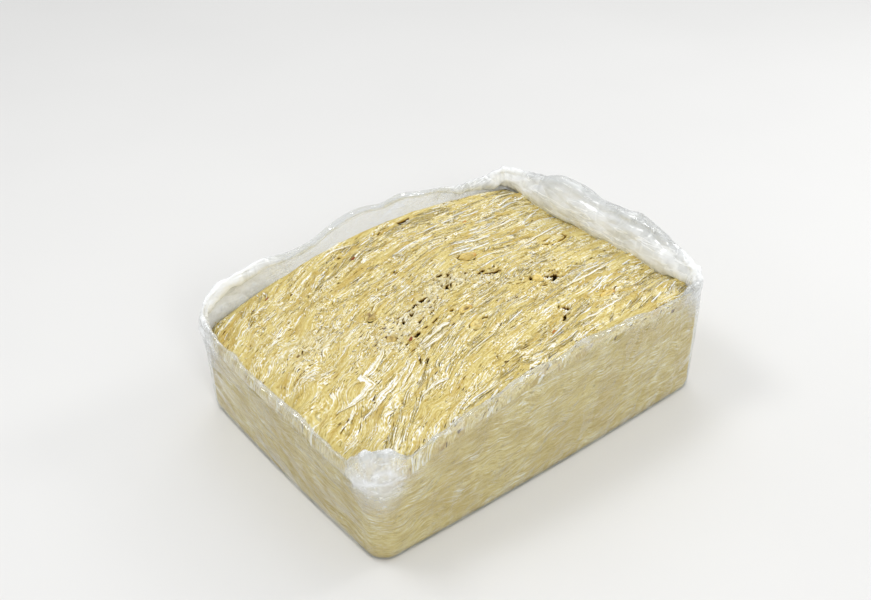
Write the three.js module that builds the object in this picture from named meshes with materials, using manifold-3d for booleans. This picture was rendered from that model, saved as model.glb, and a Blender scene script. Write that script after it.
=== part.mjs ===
// Sunflower halva: one slab of pressed, fibrous halva with whole nuts set in its top, standing in
// the clear film liner that it was cast in. The film's free edge stands up round the top as a collar.
// Millimetres, +Z up, +X along the slab. The origin is under the middle of the part, on its base.
import * as THREE from "three";
import { mergeVertices } from "three/addons/utils/BufferGeometryUtils.js";
import Module from "manifold-3d";

// Slab
const LENGTH = 364;
const WIDTH = 266;
const CORNER_RADIUS = 16;
const SHOULDER_RADIUS = 12;
const SIDE_BOW = 3;
const BASE_SHARE = 0.972;

// Crown of the top: a low dome whose ridge crosses the slab right of its middle
const CROWN_HEIGHT = 118;
const CROWN_X = 42;
const CROWN_FALL_ALONG = 26;
const CROWN_FALL_ACROSS = 3;
const CROWN_ROLL = 4;
const CROWN_ROLL_SPAN = 95;

// Grain: the fibres run along the slab and steepen towards its left end
const GRAIN_SLOPE = 0.09;
const GRAIN_CURVE = 0.12;
const GRAIN_FAN = 0.3;

// Relief of the top
const PLATE_STEP = 1.8;
const PLATE_LAYERS = 4;
const PLATE_LENGTH = 54;
const PLATE_WIDTH = 18;
const PLATE_EDGE = 0.25;
const RIDGE_HEIGHT = 1.5;
const RIDGE_LENGTH = 50;
const RIDGE_WIDTH = 9;
const CRACK_DEPTH = 6;
const CRACK_HALF_WIDTH = 5;
const CRACK_BREAK = 16;
const SIDE_ROUGHNESS = 0.7;
const SIDE_GRAIN = 22;

// Grid of the slab: long cells along the grain, short ones across it
const STEP_ALONG = 8.4;
const STEP_ACROSS = 3.9;
const SHOULDER_STATIONS = [0, 0.2, 0.5, 1];
const SIDE_ROWS = 3;

// Film
const FILM_THICKNESS = 0.8;
const FILM_GAP = 0.3;
const FILM_LOOSENESS = 1.8;
const FILM_SLACK = 0.8;
const FILM_BASE_INSET = 3;
const FILM_POINTS = 120;
const RUFFLE = 2.4;
const RUFFLE_LENGTH = 34;
const RIM_RAGGEDNESS = 0.22;
const RIM_LENGTH = 26;

// The film's collar round the top, from the near corner anticlockwise: share of the way round,
// height over the slab's edge, outward lean, and length of the lip that folds back inwards
const COLLAR = [
  { at: 0.0, height: 44, lean: 0, lip: 12 },
  { at: 0.03, height: 14, lean: 1, lip: 5 },
  { at: 0.25, height: 9, lean: 2, lip: 4 },
  { at: 0.3, height: 20, lean: 1, lip: 14 },
  { at: 0.335, height: 35, lean: 2, lip: 30 },
  { at: 0.43, height: 35, lean: 2, lip: 30 },
  { at: 0.5, height: 22, lean: 1, lip: 15 },
  { at: 0.55, height: 8, lean: 1, lip: 4 },
  { at: 0.585, height: 17, lean: 2, lip: 5 },
  { at: 0.65, height: 20, lean: 2, lip: 5 },
  { at: 0.7, height: 13, lean: 2, lip: 5 },
  { at: 0.765, height: 30, lean: 1, lip: 10 },
  { at: 0.79, height: 27, lean: 1, lip: 12 },
  { at: 0.83, height: 11, lean: 2, lip: 5 },
  { at: 0.97, height: 12, lean: 1, lip: 5 },
];

// Middle line of the arch-shaped crack across the top, as [x, y]
const CRACK = [
  [-85, -15],
  [-54, -4],
  [-27, 3],
  [0, 17],
  [36, -5],
  [58, -16],
  [80, -45],
];

// Hollows in the top, with their long axes turned from +X
const PITS = [
  { x: 54, y: -88, length: 12, width: 8, depth: 6, turn: 20 },
  { x: -32, y: 55, length: 22, width: 5, depth: 3, turn: -6 },
  { x: 35, y: 119, length: 14, width: 6, depth: 4, turn: 6 },
  { x: -63, y: -28, length: 12, width: 7, depth: 5, turn: 10 },
  { x: 64, y: 31, length: 12, width: 6, depth: 4, turn: 8 },
];

// Nuts set in the top: plan position, half sizes along, across and up, and turn from +X
const NUTS = [
  { name: "nut_amber", x: 42, y: 30, size: [8.6, 4.9, 4.4], turn: -10, colour: 0xc98a2e },
  { name: "nut_ring", x: -8, y: -28, size: [7.4, 5, 4.4], turn: 12, colour: 0xcf9a3c },
  { name: "nut_yellow", x: 66, y: -38, size: [5.4, 4.4, 4], turn: -70, colour: 0xe0c060 },
  { name: "nut_grey", x: -76, y: 19, size: [6.6, 4.6, 4.2], turn: 36, colour: 0xb59a62 },
  { name: "nut_pale", x: 105, y: -87, size: [8.8, 4, 3.8], turn: 5, colour: 0xe2cd7c },
  { name: "nut_sunk", x: -18, y: -54, size: [7, 4.8, 4.2], turn: 25, colour: 0xcbb070 },
  { name: "nut_brown", x: -78, y: -13, size: [6, 4.8, 4.2], turn: 65, colour: 0xb08a48 },
];
const NUT_SIDES = 9;
const NUT_RINGS = 5;
const NUT_FLATTENING = 0.45;
const NUT_SINK = 0.5;
const NUT_HOLLOW = 2.2;
const NUT_CLEARANCE = 0.35;

const HALF_LENGTH = LENGTH / 2;
const HALF_WIDTH = WIDTH / 2;
const SLAB_BASE = FILM_THICKNESS + FILM_GAP;

const wasm = await Module();
wasm.setup();

// A repeatable number from 0 to 1 for a whole-number cell and a seed.
function cellValue(i, j, seed) {
  const wave = Math.sin(i * 127.1 + j * 311.7 + seed * 74.7) * 43758.5453;
  return wave - Math.floor(wave);
}

function smooth(t) {
  return t * t * (3 - 2 * t);
}

// Soft noise from 0 to 1: the values of the four nearest cells, blended.
function softNoise(u, v, seed) {
  const i = Math.floor(u);
  const j = Math.floor(v);
  const s = smooth(u - i);
  const t = smooth(v - j);
  const near = THREE.MathUtils.lerp(cellValue(i, j, seed), cellValue(i + 1, j, seed), s);
  const far = THREE.MathUtils.lerp(cellValue(i, j + 1, seed), cellValue(i + 1, j + 1, seed), s);
  return THREE.MathUtils.lerp(near, far, t);
}

// Plan of the slab: the unit square [-1, 1] squared, with its corners rounded and its sides bowed out.
function planPoint(p, q) {
  const ring = Math.max(Math.abs(p), Math.abs(q));
  if (ring === 0) return new THREE.Vector2();
  const edge = new THREE.Vector2((HALF_LENGTH * p) / ring, (HALF_WIDTH * q) / ring);
  const corner = new THREE.Vector2(HALF_LENGTH - CORNER_RADIUS, HALF_WIDTH - CORNER_RADIUS);
  corner.multiply(new THREE.Vector2(Math.sign(p), Math.sign(q)));
  const past = edge.clone().sub(corner);
  if (past.x * p > 0 && past.y * q > 0) {
    edge.copy(corner.addScaledVector(past.normalize(), CORNER_RADIUS));
  }
  edge.multiplyScalar(ring);
  edge.x += SIDE_BOW * p * (1 - q * q);
  edge.y += SIDE_BOW * q * (1 - p * p);
  return edge;
}

// Distance from a point of the plan in to the nearest side.
function inset(p, q) {
  const plan = planPoint(p, q);
  const x = Math.abs(plan.x - SIDE_BOW * p * (1 - q * q)) - (HALF_LENGTH - CORNER_RADIUS);
  const y = Math.abs(plan.y - SIDE_BOW * q * (1 - p * p)) - (HALF_WIDTH - CORNER_RADIUS);
  const outside = Math.hypot(Math.max(x, 0), Math.max(y, 0));
  return Math.max(0, CORNER_RADIUS - outside - Math.min(Math.max(x, y), 0));
}

// Height of the smooth dome, before its shoulders are rounded off.
function crown(x, y) {
  const along = (x - CROWN_X) / HALF_LENGTH;
  const across = y / HALF_WIDTH;
  const roll = softNoise(x / CROWN_ROLL_SPAN, y / CROWN_ROLL_SPAN, 5) - 0.5;
  const fall = CROWN_FALL_ALONG * along ** 2 + CROWN_FALL_ACROSS * across ** 2;
  return CROWN_HEIGHT - fall + CROWN_ROLL * roll;
}

// How far the rounded shoulder lies under the dome at a distance in from the side.
function shoulderDrop(distance) {
  const reach = Math.max(0, SHOULDER_RADIUS - distance);
  return SHOULDER_RADIUS - Math.sqrt(SHOULDER_RADIUS ** 2 - reach ** 2);
}

// Position across the fibres: it is the same all along one fibre.
function acrossGrain(x, y) {
  const left = (HALF_LENGTH - x) / LENGTH;
  const sweep = GRAIN_SLOPE * x - GRAIN_CURVE * LENGTH * left ** 3;
  return y - sweep * (1 - (GRAIN_FAN * y) / WIDTH);
}

// Overlapping plates of halva, as terraces with steep edges along the grain.
function plates(x, across) {
  const level = softNoise(x / PLATE_LENGTH, across / PLATE_WIDTH, 1) * PLATE_LAYERS;
  const part = level - Math.floor(level);
  const edge = THREE.MathUtils.clamp((part - 0.5) / PLATE_EDGE + 0.5, 0, 1);
  return PLATE_STEP * (Math.floor(level) + smooth(edge) - PLATE_LAYERS / 2);
}

// Bundles of fibres, as ridges along the grain.
function ridges(x, across) {
  const wave = softNoise(x / RIDGE_LENGTH, across / RIDGE_WIDTH, 2);
  return RIDGE_HEIGHT * (1 - 2 * Math.abs(2 * wave - 1));
}

function crackDistance(x, y) {
  const point = new THREE.Vector3(x, y, 0);
  const nearest = new THREE.Vector3();
  let least = Infinity;
  for (let i = 1; i < CRACK.length; i++) {
    const [start, end] = [CRACK[i - 1], CRACK[i]].map(([cx, cy]) => new THREE.Vector3(cx, cy, 0));
    const segment = new THREE.Line3(start, end);
    least = Math.min(least, segment.closestPointToPoint(point, true, nearest).distanceTo(point));
  }
  return least;
}

// The crack, deeper and shallower along its way.
function crack(x, y) {
  const broken = 0.35 + 0.65 * softNoise(x / CRACK_BREAK, y / CRACK_BREAK, 3);
  return CRACK_DEPTH * broken * Math.exp(-((crackDistance(x, y) / CRACK_HALF_WIDTH) ** 2));
}

// Depth at a point of an oval hollow with round sides.
function hollow(x, y, { x: cx, y: cy, length, width, depth, turn }) {
  const centre = new THREE.Vector2(cx, cy);
  const offset = new THREE.Vector2(x, y).rotateAround(centre, -THREE.MathUtils.degToRad(turn)).sub(centre);
  return depth * Math.exp(-(((2 * offset.x) / length) ** 2) - ((2 * offset.y) / width) ** 2);
}

function nutHollow({ x, y, size, turn }) {
  return { x, y, length: size[0] * 2.6, width: size[1] * 2.8, depth: NUT_HOLLOW, turn };
}

function relief(x, y) {
  const across = acrossGrain(x, y);
  const hollows = [...PITS, ...NUTS.map(nutHollow)].reduce((sum, pit) => sum + hollow(x, y, pit), 0);
  return plates(x, across) + ridges(x, across) - crack(x, y) - hollows;
}

function topHeight(p, q) {
  const { x, y } = planPoint(p, q);
  const distance = inset(p, q);
  const fade = THREE.MathUtils.clamp(distance / SHOULDER_RADIUS, 0, 1);
  return crown(x, y) - shoulderDrop(distance) + relief(x, y) * fade;
}

// Grid stations from -1 to 1: close together over the shoulders, even between them.
function stations(half, step) {
  const flat = (half - SHOULDER_RADIUS) / half;
  const low = SHOULDER_STATIONS.map((share) => -1 + share * (1 - flat));
  const cells = Math.round((2 * flat * half) / step);
  const middle = Array.from({ length: cells - 1 }, (_, i) => flat * ((2 * (i + 1)) / cells - 1));
  return [...low, ...middle, ...low.map((value) => -value).reverse()];
}

// A closed surface gathered from points and triangles.
class Shell {
  positions = [];
  triangles = [];

  point(x, y, z) {
    this.positions.push(x, y, z);
    return this.positions.length / 3 - 1;
  }

  quad(a, b, c, d) {
    this.triangles.push(a, b, c, a, c, d);
  }

  // Joins two rings of the same length. The first ring is the lower one of an outer face.
  strip(low, high) {
    low.forEach((start, i) => {
      const next = (i + 1) % low.length;
      this.quad(start, low[next], high[next], high[i]);
    });
  }

  // Closes a ring with triangles to one point. An anticlockwise ring gives a face that looks up.
  cap(ring, centre) {
    ring.forEach((start, i) => this.triangles.push(start, ring[(i + 1) % ring.length], centre));
  }

  geometry() {
    const made = new THREE.BufferGeometry();
    made.setAttribute("position", new THREE.Float32BufferAttribute(this.positions, 3));
    made.setIndex(this.triangles);
    return made;
  }
}

// The slab: a height field for the top, side rows that follow its outline, and a flat base.
function slabGeometry() {
  const shell = new Shell();
  const columns = stations(HALF_LENGTH, STEP_ALONG);
  const rows = stations(HALF_WIDTH, STEP_ACROSS);
  const lastColumn = columns.length - 1;
  const lastRow = rows.length - 1;
  const top = columns.map((p) =>
    rows.map((q) => {
      const { x, y } = planPoint(p, q);
      return shell.point(x, y, topHeight(p, q));
    }),
  );
  for (let i = 0; i < lastColumn; i++) {
    for (let j = 0; j < lastRow; j++) {
      shell.quad(top[i][j], top[i + 1][j], top[i + 1][j + 1], top[i][j + 1]);
    }
  }

  // The outline's grid places, anticlockwise from the near corner.
  const outline = [
    ...columns.slice(0, -1).map((_, i) => [i, 0]),
    ...rows.slice(0, -1).map((_, j) => [lastColumn, j]),
    ...columns.slice(1).map((_, i) => [lastColumn - i, lastRow]),
    ...rows.slice(1).map((_, j) => [0, lastRow - j]),
  ];
  let upper = outline.map(([i, j]) => top[i][j]);
  for (let row = 1; row <= SIDE_ROWS; row++) {
    const share = 1 - row / SIDE_ROWS;
    const lower = outline.map(([i, j], k) => {
      const size = row === SIDE_ROWS ? BASE_SHARE : 1;
      const plan = planPoint(size * columns[i], size * rows[j]);
      const rough = SIDE_ROUGHNESS * (2 * softNoise((k * STEP_ACROSS) / SIDE_GRAIN, row, 6) - 1);
      const edge = topHeight(columns[i], rows[j]);
      plan.setLength(plan.length() + rough);
      return shell.point(plan.x, plan.y, SLAB_BASE + share * (edge - SLAB_BASE));
    });
    shell.strip(lower, upper);
    upper = lower;
  }
  shell.cap([...upper].reverse(), shell.point(0, 0, SLAB_BASE));
  return shell.geometry();
}

// A point of the slab's outline at a share of the way round, with the way out of the slab there.
function outlinePoint(share) {
  const sides = [LENGTH, WIDTH, LENGTH, WIDTH];
  let way = (((share % 1) + 1) % 1) * 2 * (LENGTH + WIDTH);
  let side = 0;
  while (side < 3 && way > sides[side]) way -= sides[side++];
  const t = (2 * way) / sides[side] - 1;
  const [p, q] = [
    [t, -1],
    [1, t],
    [-t, 1],
    [-1, -t],
  ][side];
  return planPoint(p, q);
}

function outlineNormal(share) {
  const ahead = outlinePoint(share + 1e-3).sub(outlinePoint(share - 1e-3)).normalize();
  return new THREE.Vector2(ahead.y, -ahead.x);
}

// A collar value at a share of the way round, blended smoothly between the listed places.
function collarValue(share, key) {
  const way = ((share % 1) + 1) % 1;
  const next = COLLAR.findIndex(({ at }) => at > way);
  const low = next > 0 ? COLLAR[next - 1] : COLLAR.at(-1);
  const high = next > 0 ? COLLAR[next] : { ...COLLAR[0], at: 1 };
  return THREE.MathUtils.lerp(low[key], high[key], smooth((way - low.at) / (high.at - low.at)));
}

// Noise along the rim that meets itself after one turn.
function rimNoise(share, wavelength, seed) {
  const turns = Math.round((2 * (LENGTH + WIDTH)) / wavelength);
  const cell = share * turns;
  const i = Math.floor(cell);
  const before = cellValue(i % turns, 0, seed);
  const after = cellValue((i + 1) % turns, 0, seed);
  return 2 * THREE.MathUtils.lerp(before, after, smooth(cell - i)) - 1;
}

// Section of the film at a share of the way round, from its base edge up the side, over the rim and
// down the lip. x is the distance out from the slab's outline, y the height.
function filmSection(share) {
  const { x, y } = outlinePoint(share);
  const edge = crown(x, y);
  const height = collarValue(share, "height") * (1 + RIM_RAGGEDNESS * rimNoise(share, RIM_LENGTH, 7));
  const lean = collarValue(share, "lean");
  const lip = Math.min(collarValue(share, "lip"), height - 2);
  const ruffle = RUFFLE * rimNoise(share, RUFFLE_LENGTH, 8);
  const slack = (level) => FILM_LOOSENESS + FILM_SLACK * (1 + rimNoise(share, RUFFLE_LENGTH, 9 + level));
  const roll = THREE.MathUtils.clamp(lip / 5, 1.6, 4);
  const top = slack(3) + lean + 0.6 * ruffle;
  return [
    [-FILM_BASE_INSET, FILM_THICKNESS / 2],
    [slack(0), FILM_BASE_INSET + FILM_THICKNESS],
    [slack(1), 0.5 * edge],
    [slack(2), edge - SHOULDER_RADIUS],
    [slack(3) + 0.4 * lean + 0.4 * ruffle, edge + 0.25 * height],
    [top, edge + height - roll],
    [top - roll, edge + height],
    [top - 2 * roll, edge + height - roll],
    [top - 2 * roll - 0.12 * lip, edge + height - lip],
  ].map(([out, up]) => new THREE.Vector2(out, up));
}

// A section moved sideways by half the film's thickness, to its outer (+1) or inner (-1) face.
function sectionFace(section, side) {
  return section.map((point, k) => {
    const before = section[Math.max(k - 1, 0)];
    const after = section[Math.min(k + 1, section.length - 1)];
    const along = k === 0 ? new THREE.Vector2(1, 0) : after.clone().sub(before).normalize();
    const out = new THREE.Vector2(along.y, -along.x);
    return point.clone().addScaledVector(out, (side * FILM_THICKNESS) / 2);
  });
}

// The film: an open bag of even thickness, its outer and inner faces split alike and joined at the lip.
function filmGeometry() {
  const shell = new Shell();
  const shares = Array.from({ length: FILM_POINTS }, (_, i) => i / FILM_POINTS);
  const sections = shares.map(filmSection);
  const faceRings = (side) => {
    const faces = sections.map((section) => sectionFace(section, side));
    return faces[0].map((_, k) =>
      shares.map((share, i) => {
        const plan = outlinePoint(share).addScaledVector(outlineNormal(share), faces[i][k].x);
        return shell.point(plan.x, plan.y, faces[i][k].y);
      }),
    );
  };
  const outer = faceRings(1);
  const inner = faceRings(-1);
  for (let k = 1; k < outer.length; k++) {
    shell.strip(outer[k - 1], outer[k]);
    shell.strip([...inner[k - 1]].reverse(), [...inner[k]].reverse());
  }
  shell.strip(outer.at(-1), inner.at(-1));
  shell.cap([...outer[0]].reverse(), shell.point(0, 0, 0));
  shell.cap(inner[0], shell.point(0, 0, FILM_THICKNESS));
  return shell.geometry();
}

// A nut half: a smooth oval, flatter underneath, lying in its hollow.
function nutGeometry({ x, y, size, turn }, grow = 0) {
  const nut = new THREE.SphereGeometry(1, NUT_SIDES, NUT_RINGS).rotateX(Math.PI / 2);
  const corners = nut.getAttribute("position");
  for (let i = 0; i < corners.count; i++) {
    if (corners.getZ(i) < 0) corners.setZ(i, NUT_FLATTENING * corners.getZ(i));
  }
  const height = crown(x, y) + relief(x, y) + NUT_SINK;
  return nut
    .scale(size[0] + grow, size[1] + grow, size[2] + grow / NUT_FLATTENING)
    .rotateZ(THREE.MathUtils.degToRad(turn))
    .translate(x, y, height);
}

function solidOf(geometry) {
  const bare = geometry.clone();
  bare.deleteAttribute("normal");
  bare.deleteAttribute("uv");
  const merged = mergeVertices(bare, 1e-3);
  const vertProperties = merged.getAttribute("position").array;
  const triVerts = new Uint32Array(merged.index.array);
  return new wasm.Manifold(new wasm.Mesh({ numProp: 3, vertProperties, triVerts }));
}

function geometryOf(solid) {
  const { vertProperties, triVerts } = solid.getMesh();
  const made = new THREE.BufferGeometry();
  made.setAttribute("position", new THREE.BufferAttribute(new Float32Array(vertProperties), 3));
  return made.setIndex(new THREE.BufferAttribute(new Uint32Array(triVerts), 1));
}

// The slab with a seat cut for each nut, a little larger than the nut.
function seatedSlab() {
  const seats = NUTS.map((nut) => solidOf(nutGeometry(nut, NUT_CLEARANCE)));
  return geometryOf(seats.reduce((slab, seat) => slab.subtract(seat), solidOf(slabGeometry())));
}

function piece(name, geometry, colour, roughness, options = {}) {
  const material = new THREE.MeshStandardMaterial({ color: colour, roughness, metalness: 0, ...options });
  const mesh = new THREE.Mesh(geometry, material);
  mesh.name = name;
  return mesh;
}

const part = new THREE.Group();
part.add(piece("halva_slab", seatedSlab(), 0xd9c993, 0.6));
part.add(piece("film_liner", filmGeometry(), 0xf2f4f4, 0.2, { transparent: true, opacity: 0.35 }));
for (const nut of NUTS) part.add(piece(nut.name, nutGeometry(nut), nut.colour, 0.45));

// The part's own middle goes over the origin.
const bounds = new THREE.Box3().setFromObject(part);
const middle = bounds.getCenter(new THREE.Vector3());
part.children.forEach((mesh) => mesh.geometry.translate(-middle.x, -middle.y, -bounds.min.z));

export default part;
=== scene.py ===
import math

import bpy
import numpy as np
from mathutils import Matrix, Vector


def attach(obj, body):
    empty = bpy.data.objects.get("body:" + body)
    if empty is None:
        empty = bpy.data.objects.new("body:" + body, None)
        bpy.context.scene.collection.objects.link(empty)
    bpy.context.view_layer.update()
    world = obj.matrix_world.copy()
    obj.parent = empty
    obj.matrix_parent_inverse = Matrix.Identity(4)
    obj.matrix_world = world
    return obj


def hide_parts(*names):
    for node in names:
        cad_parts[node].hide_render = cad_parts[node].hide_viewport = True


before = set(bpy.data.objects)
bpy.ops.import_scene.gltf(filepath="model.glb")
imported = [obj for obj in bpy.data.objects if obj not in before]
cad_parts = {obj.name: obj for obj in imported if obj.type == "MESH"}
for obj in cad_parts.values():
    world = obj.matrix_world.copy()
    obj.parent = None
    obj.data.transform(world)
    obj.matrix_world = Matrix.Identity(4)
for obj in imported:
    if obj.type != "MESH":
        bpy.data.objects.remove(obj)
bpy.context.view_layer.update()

# A slab of sunflower halva in its clear film liner. Shapes are worked out in millimetres in the slab's
# own frame, with +X along the slab and +Z up, and are moved to the part's frame when a mesh is made.
MM = 0.001
PART_SHIFT = np.array([-0.004, 0.232, 0.0])

# Slab
LENGTH = 364
WIDTH = 266
HALF_LENGTH = LENGTH / 2
HALF_WIDTH = WIDTH / 2
PERIMETER = 2 * (LENGTH + WIDTH)
CORNER_RADIUS = 16
SHOULDER_RADIUS = 8
SIDE_BOW = 3
BASE_ROUNDING = 1.5
SLAB_BASE = 1.1

# Dome of the top
CROWN_HEIGHT = 118
CROWN_X = 42
CROWN_FALL_ALONG = 26
CROWN_FALL_ACROSS = 3
CROWN_ROLL = 4
CROWN_ROLL_SPAN = 95

# Grain of the fibres, with waves of a length, width, turn and number of their noise, and the place where
# they curl round
GRAIN_SLOPE = 0.09
GRAIN_CURVE = 0.12
GRAIN_FAN = 0.3
GRAIN_WAVES = ((44, 30, 0.3, 26), (17, 13, 0.16, 27))
LEFT_TURN = 0.55
SWIRL = (-83, -77)
SWIRL_RADIUS = 16
SWIRL_TURN = 0.7

# Large relief of the top
PLATE_STEP = 1.8
PLATE_LAYERS = 4
PLATE_LENGTH = 54
PLATE_WIDTH = 18
PLATE_EDGE = 0.25
RIDGE_HEIGHT = 1.5
RIDGE_LENGTH = 50
RIDGE_WIDTH = 9
CRACK_DEPTH = 6
CRACK_HALF_WIDTH = 5
CRACK_BREAK = 16
CRACK = [(-85, -15), (-54, -4), (-27, 3), (0, 17), (36, -5), (58, -16), (80, -45)]

# Layers of flakes, longest first: number, lengths, widths, thicknesses and spread of their turn in radians.
# Crumbs lie where the top is crumbly.
FLAKES = [
    (420, (40, 100), (4, 12), (0.22, 0.5), 0.06),
    (600, (20, 60), (2.0, 5), (0.15, 0.3), 0.08),
]
CRUMBS = [
    (900, (7, 18), (1.4, 3.0), (0.2, 0.5), 0.35),
    (700, (4, 10), (1.8, 3.6), (0.5, 1.2), 1.0),
]
FLAKE_BEND = 0.006
FLAKE_TILT = 0.2
FLAKE_CHANGE = 0.02
FLAKE_BLUR = 7
DEEPEST_BETWEEN_FLAKES = 0.7
BED_BLUR = 2

# Fine relief of the top, along the grain
FURROW_HEIGHT = 0.15
FURROW_LENGTH = 22
FURROW_WIDTH = 2.3
FIBRE_HEIGHT = 0.4
FIBRE_LENGTH = 26
FIBRE_WIDTH = 3.6
CRUMB_SIZE = 2.6
SLIT_LENGTH = 5
SLIT_WIDTH = 1.6
SLIT_DEPTH = 0.7
SLIT_EXTRA_DEPTH = 0.5

# Lighter and darker bands of the top: length, width, strength and number of their noise
TONE_BANDS = ((90, 11, 2.4, 28), (55, 4, 1.6, 29))

# Ridges of the pressed sides: length, rise, height and number of their noise
SIDE_RIDGES = ((42, 5.5, 0.2, 51), (19, 2.8, 0.12, 52))
SIDE_PIT_LENGTH = 11
SIDE_PIT_DEPTH = 0.5

# Hollows of the top: x, y, length, width, depth and turn
PITS = [
    (54, -88, 12, 8, 6, 20),
    (-32, 55, 22, 5, 3, -6),
    (35, 119, 14, 6, 4, 6),
    (-63, -28, 12, 7, 5, 10),
    (64, 31, 12, 6, 4, 8),
]

# Narrow dark gaps between flakes: x, y, length, width and turn
GAPS = [
    (2, 22, 5, 2.6, -19),
    (3, 10, 14, 2.4, 66),
    (-3, 4, 8, 1.8, 86),
    (-3, 16, 6, 2.0, -17),
    (10, 1, 3, 2.0, -25),
    (-25, 9, 14, 2.8, -2),
    (-36, 8, 7, 1.8, -5),
    (-44, 6, 15, 2.0, 11),
    (-45, 2, 7, 3.0, 6),
    (-40, -3, 8, 3.0, -30),
    (-32, -11, 9, 2.0, 28),
    (-39, -23, 8, 1.8, 23),
    (-57, 4, 7, 1.8, 2),
    (-56, -2, 6, 2.4, 21),
    (-53, -6, 8, 2.0, 0),
    (-47, -13, 6, 2.0, 7),
    (-60, -25, 8, 4.2, -4),
    (-74, -31, 3, 2.2, -9),
    (-50, -23, 6, 2.0, 5),
    (-20, -21, 5, 2.4, 4),
    (-73, -40, 8, 1.4, -2),
    (-31, -39, 6, 2.2, 29),
    (-8, -52, 9, 2.0, -2),
    (24, -4, 11, 2.4, 5),
    (35, 3, 8, 2.4, -4),
    (42, -2, 11, 2.8, -19),
    (49, -3, 9, 2.4, -5),
    (58, -16, 6, 1.6, 77),
    (52, -31, 4, 2.4, -25),
    (42, -26, 9, 1.8, -36),
    (48, -35, 9, 1.8, -20),
    (63, -29, 10, 1.8, -5),
    (61, -33, 8, 2.4, 58),
    (81, -40, 17, 2.6, -25),
    (79, -44, 9, 4.0, 25),
    (66, -48, 7, 2.4, -13),
    (57, -85, 9, 4.6, -15),
    (53, -78, 14, 1.8, 54),
    (44, -95, 12, 1.6, 30),
    (-25, 55, 24, 1.8, -5),
    (37, 121, 15, 2.4, -4),
    (4, 121, 9, 1.8, 2),
    (-47, 109, 6, 1.8, -30),
    (-79, -54, 20, 1.4, 69),
    (-78, -63, 9, 1.2, 31),
    (-32, -96, 5, 1.4, 75),
    (34, 34, 5, 2.6, 22),
    (64, 31, 8, 2.2, 6),
    (90, -89, 6, 2.2, 4),
    (160, 23, 8, 1.8, 16),
]
GAP_DEPTH = 5.5
GAP_LIMIT = 0.8

# Crevices along the crack: offset from its middle line and number of their noise
CREVICES = ((0, 31), (5, 32), (10, 33))
CREVICE_DEPTH = 2.2
CREVICE_WIDTH = 0.6

# Nuts: node, x, y, half sizes, turn, paleness (below 0 is darker than amber), hollow in the middle, share
# coated with halva, ripe tip
NUTS = [
    ("nut_amber", 42, 30, (8.6, 4.9, 4.4), -10, 0.4, 0.15, 0.2, 1.0),
    ("nut_ring", -8, -28, (7.4, 5.0, 4.4), 12, 0.8, 0.75, 0.05, 0.9),
    ("nut_yellow", 66, -38, (5.4, 4.4, 4.0), -70, 0.9, 0.15, 0.1, 0.0),
    ("nut_grey", -76, 19, (6.6, 4.6, 4.2), 36, -0.3, 0.5, 0.4, 0.0),
    ("nut_pale", 105, -87, (8.8, 4.0, 3.8), 5, 0.9, 0.4, 0.05, 0.9),
    ("nut_sunk", -18, -54, (7.0, 4.8, 4.2), 25, 0.5, 0.5, 0.5, 0.0),
    ("nut_brown", -78, -13, (6.0, 4.8, 4.2), 65, -0.15, 0.3, 0.25, 0.0),
]
NUT_RIM_DEPTH = 3.0
NUT_BED_DEPTH = 4.0
NUT_HOLLOW = 2.2
NUT_SINK = 0.5
NUT_FLATTENING = 0.45
NUT_RINGS = 24
NUT_SIDES = 40

# Seeds that halva covers, with a broken outline: x, y, half sizes and turn
COVERED_SEEDS = [
    (133, 11, (14, 6), 5),
    (-120, -78, (5, 3.6), 60),
]
SEED_RISE = 0.9
SEED_OUTLINE_DEPTH = 2.2

# Bits of seed skin: x, y, length, width, turn and paleness
SKINS = [
    (-68, -27, 6.5, 2.4, 27, 0.0),
    (-37, 101, 5.5, 1.9, 0, 0.15),
    (-122, 117, 5, 1.7, 20, 0.3),
    (81, 82, 5, 2.4, 10, 0.9),
    (23, -104, 5.5, 2.0, 20, 0.6),
]
SKIN_RINGS = 6
SKIN_SIDES = 18
SKIN_THICKNESS = 0.35

# Ribbons that stand out: width and the places that they pass
RIBBON_PATHS = [
    (8.4, [(-88, -20), (-103, -29), (-116, -35), (-126, -36),
           (-123, -47), (-136, -50), (-150, -50), (-164, -47)]),
    (6.4, [(-86, -52), (-105, -58), (-129, -64), (-150, -70)]),
    (3.6, [(-74, -50), (-94, -59), (-113, -70)]),
    (7.6, [(-70, -40), (-56, -37), (-42, -34), (-29, -34)]),
    (6.0, [(-72, -48), (-56, -46), (-40, -44)]),
    (4.0, [(-106, -89), (-90, -88), (-77, -91)]),
    (2.8, [(84, 13), (109, 21), (154, 34), (172, 36)]),
    (2.4, [(60, 52), (96, 58), (140, 66)]),
    (2.6, [(66, -62), (95, -62), (129, -57), (142, -55)]),
    (3.2, [(46, -109), (66, -110), (97, -104), (108, -102)]),
    (2.2, [(116, 47), (127, 52), (150, 64), (174, 74)]),
    (2.4, [(-24, 117), (-49, 119), (-70, 116)]),
]
RIBBON_KNOTS = 40
RIBBON_THICKNESS = 0.45

# Cross sections of strips: shares of half the width across, and of the thickness up
THREAD = np.array([(-1, 0), (1, 0), (0, 1)])
SLAT = np.array([(-1, 0), (0, -1), (1, 0), (0, 1)])
BAND = np.array([(-1, 0), (-0.5, -1), (0.5, -1), (1, 0), (0.7, 0.8), (0.25, 0.55), (-0.2, 0.9), (-0.65, 0.6)])

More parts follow.
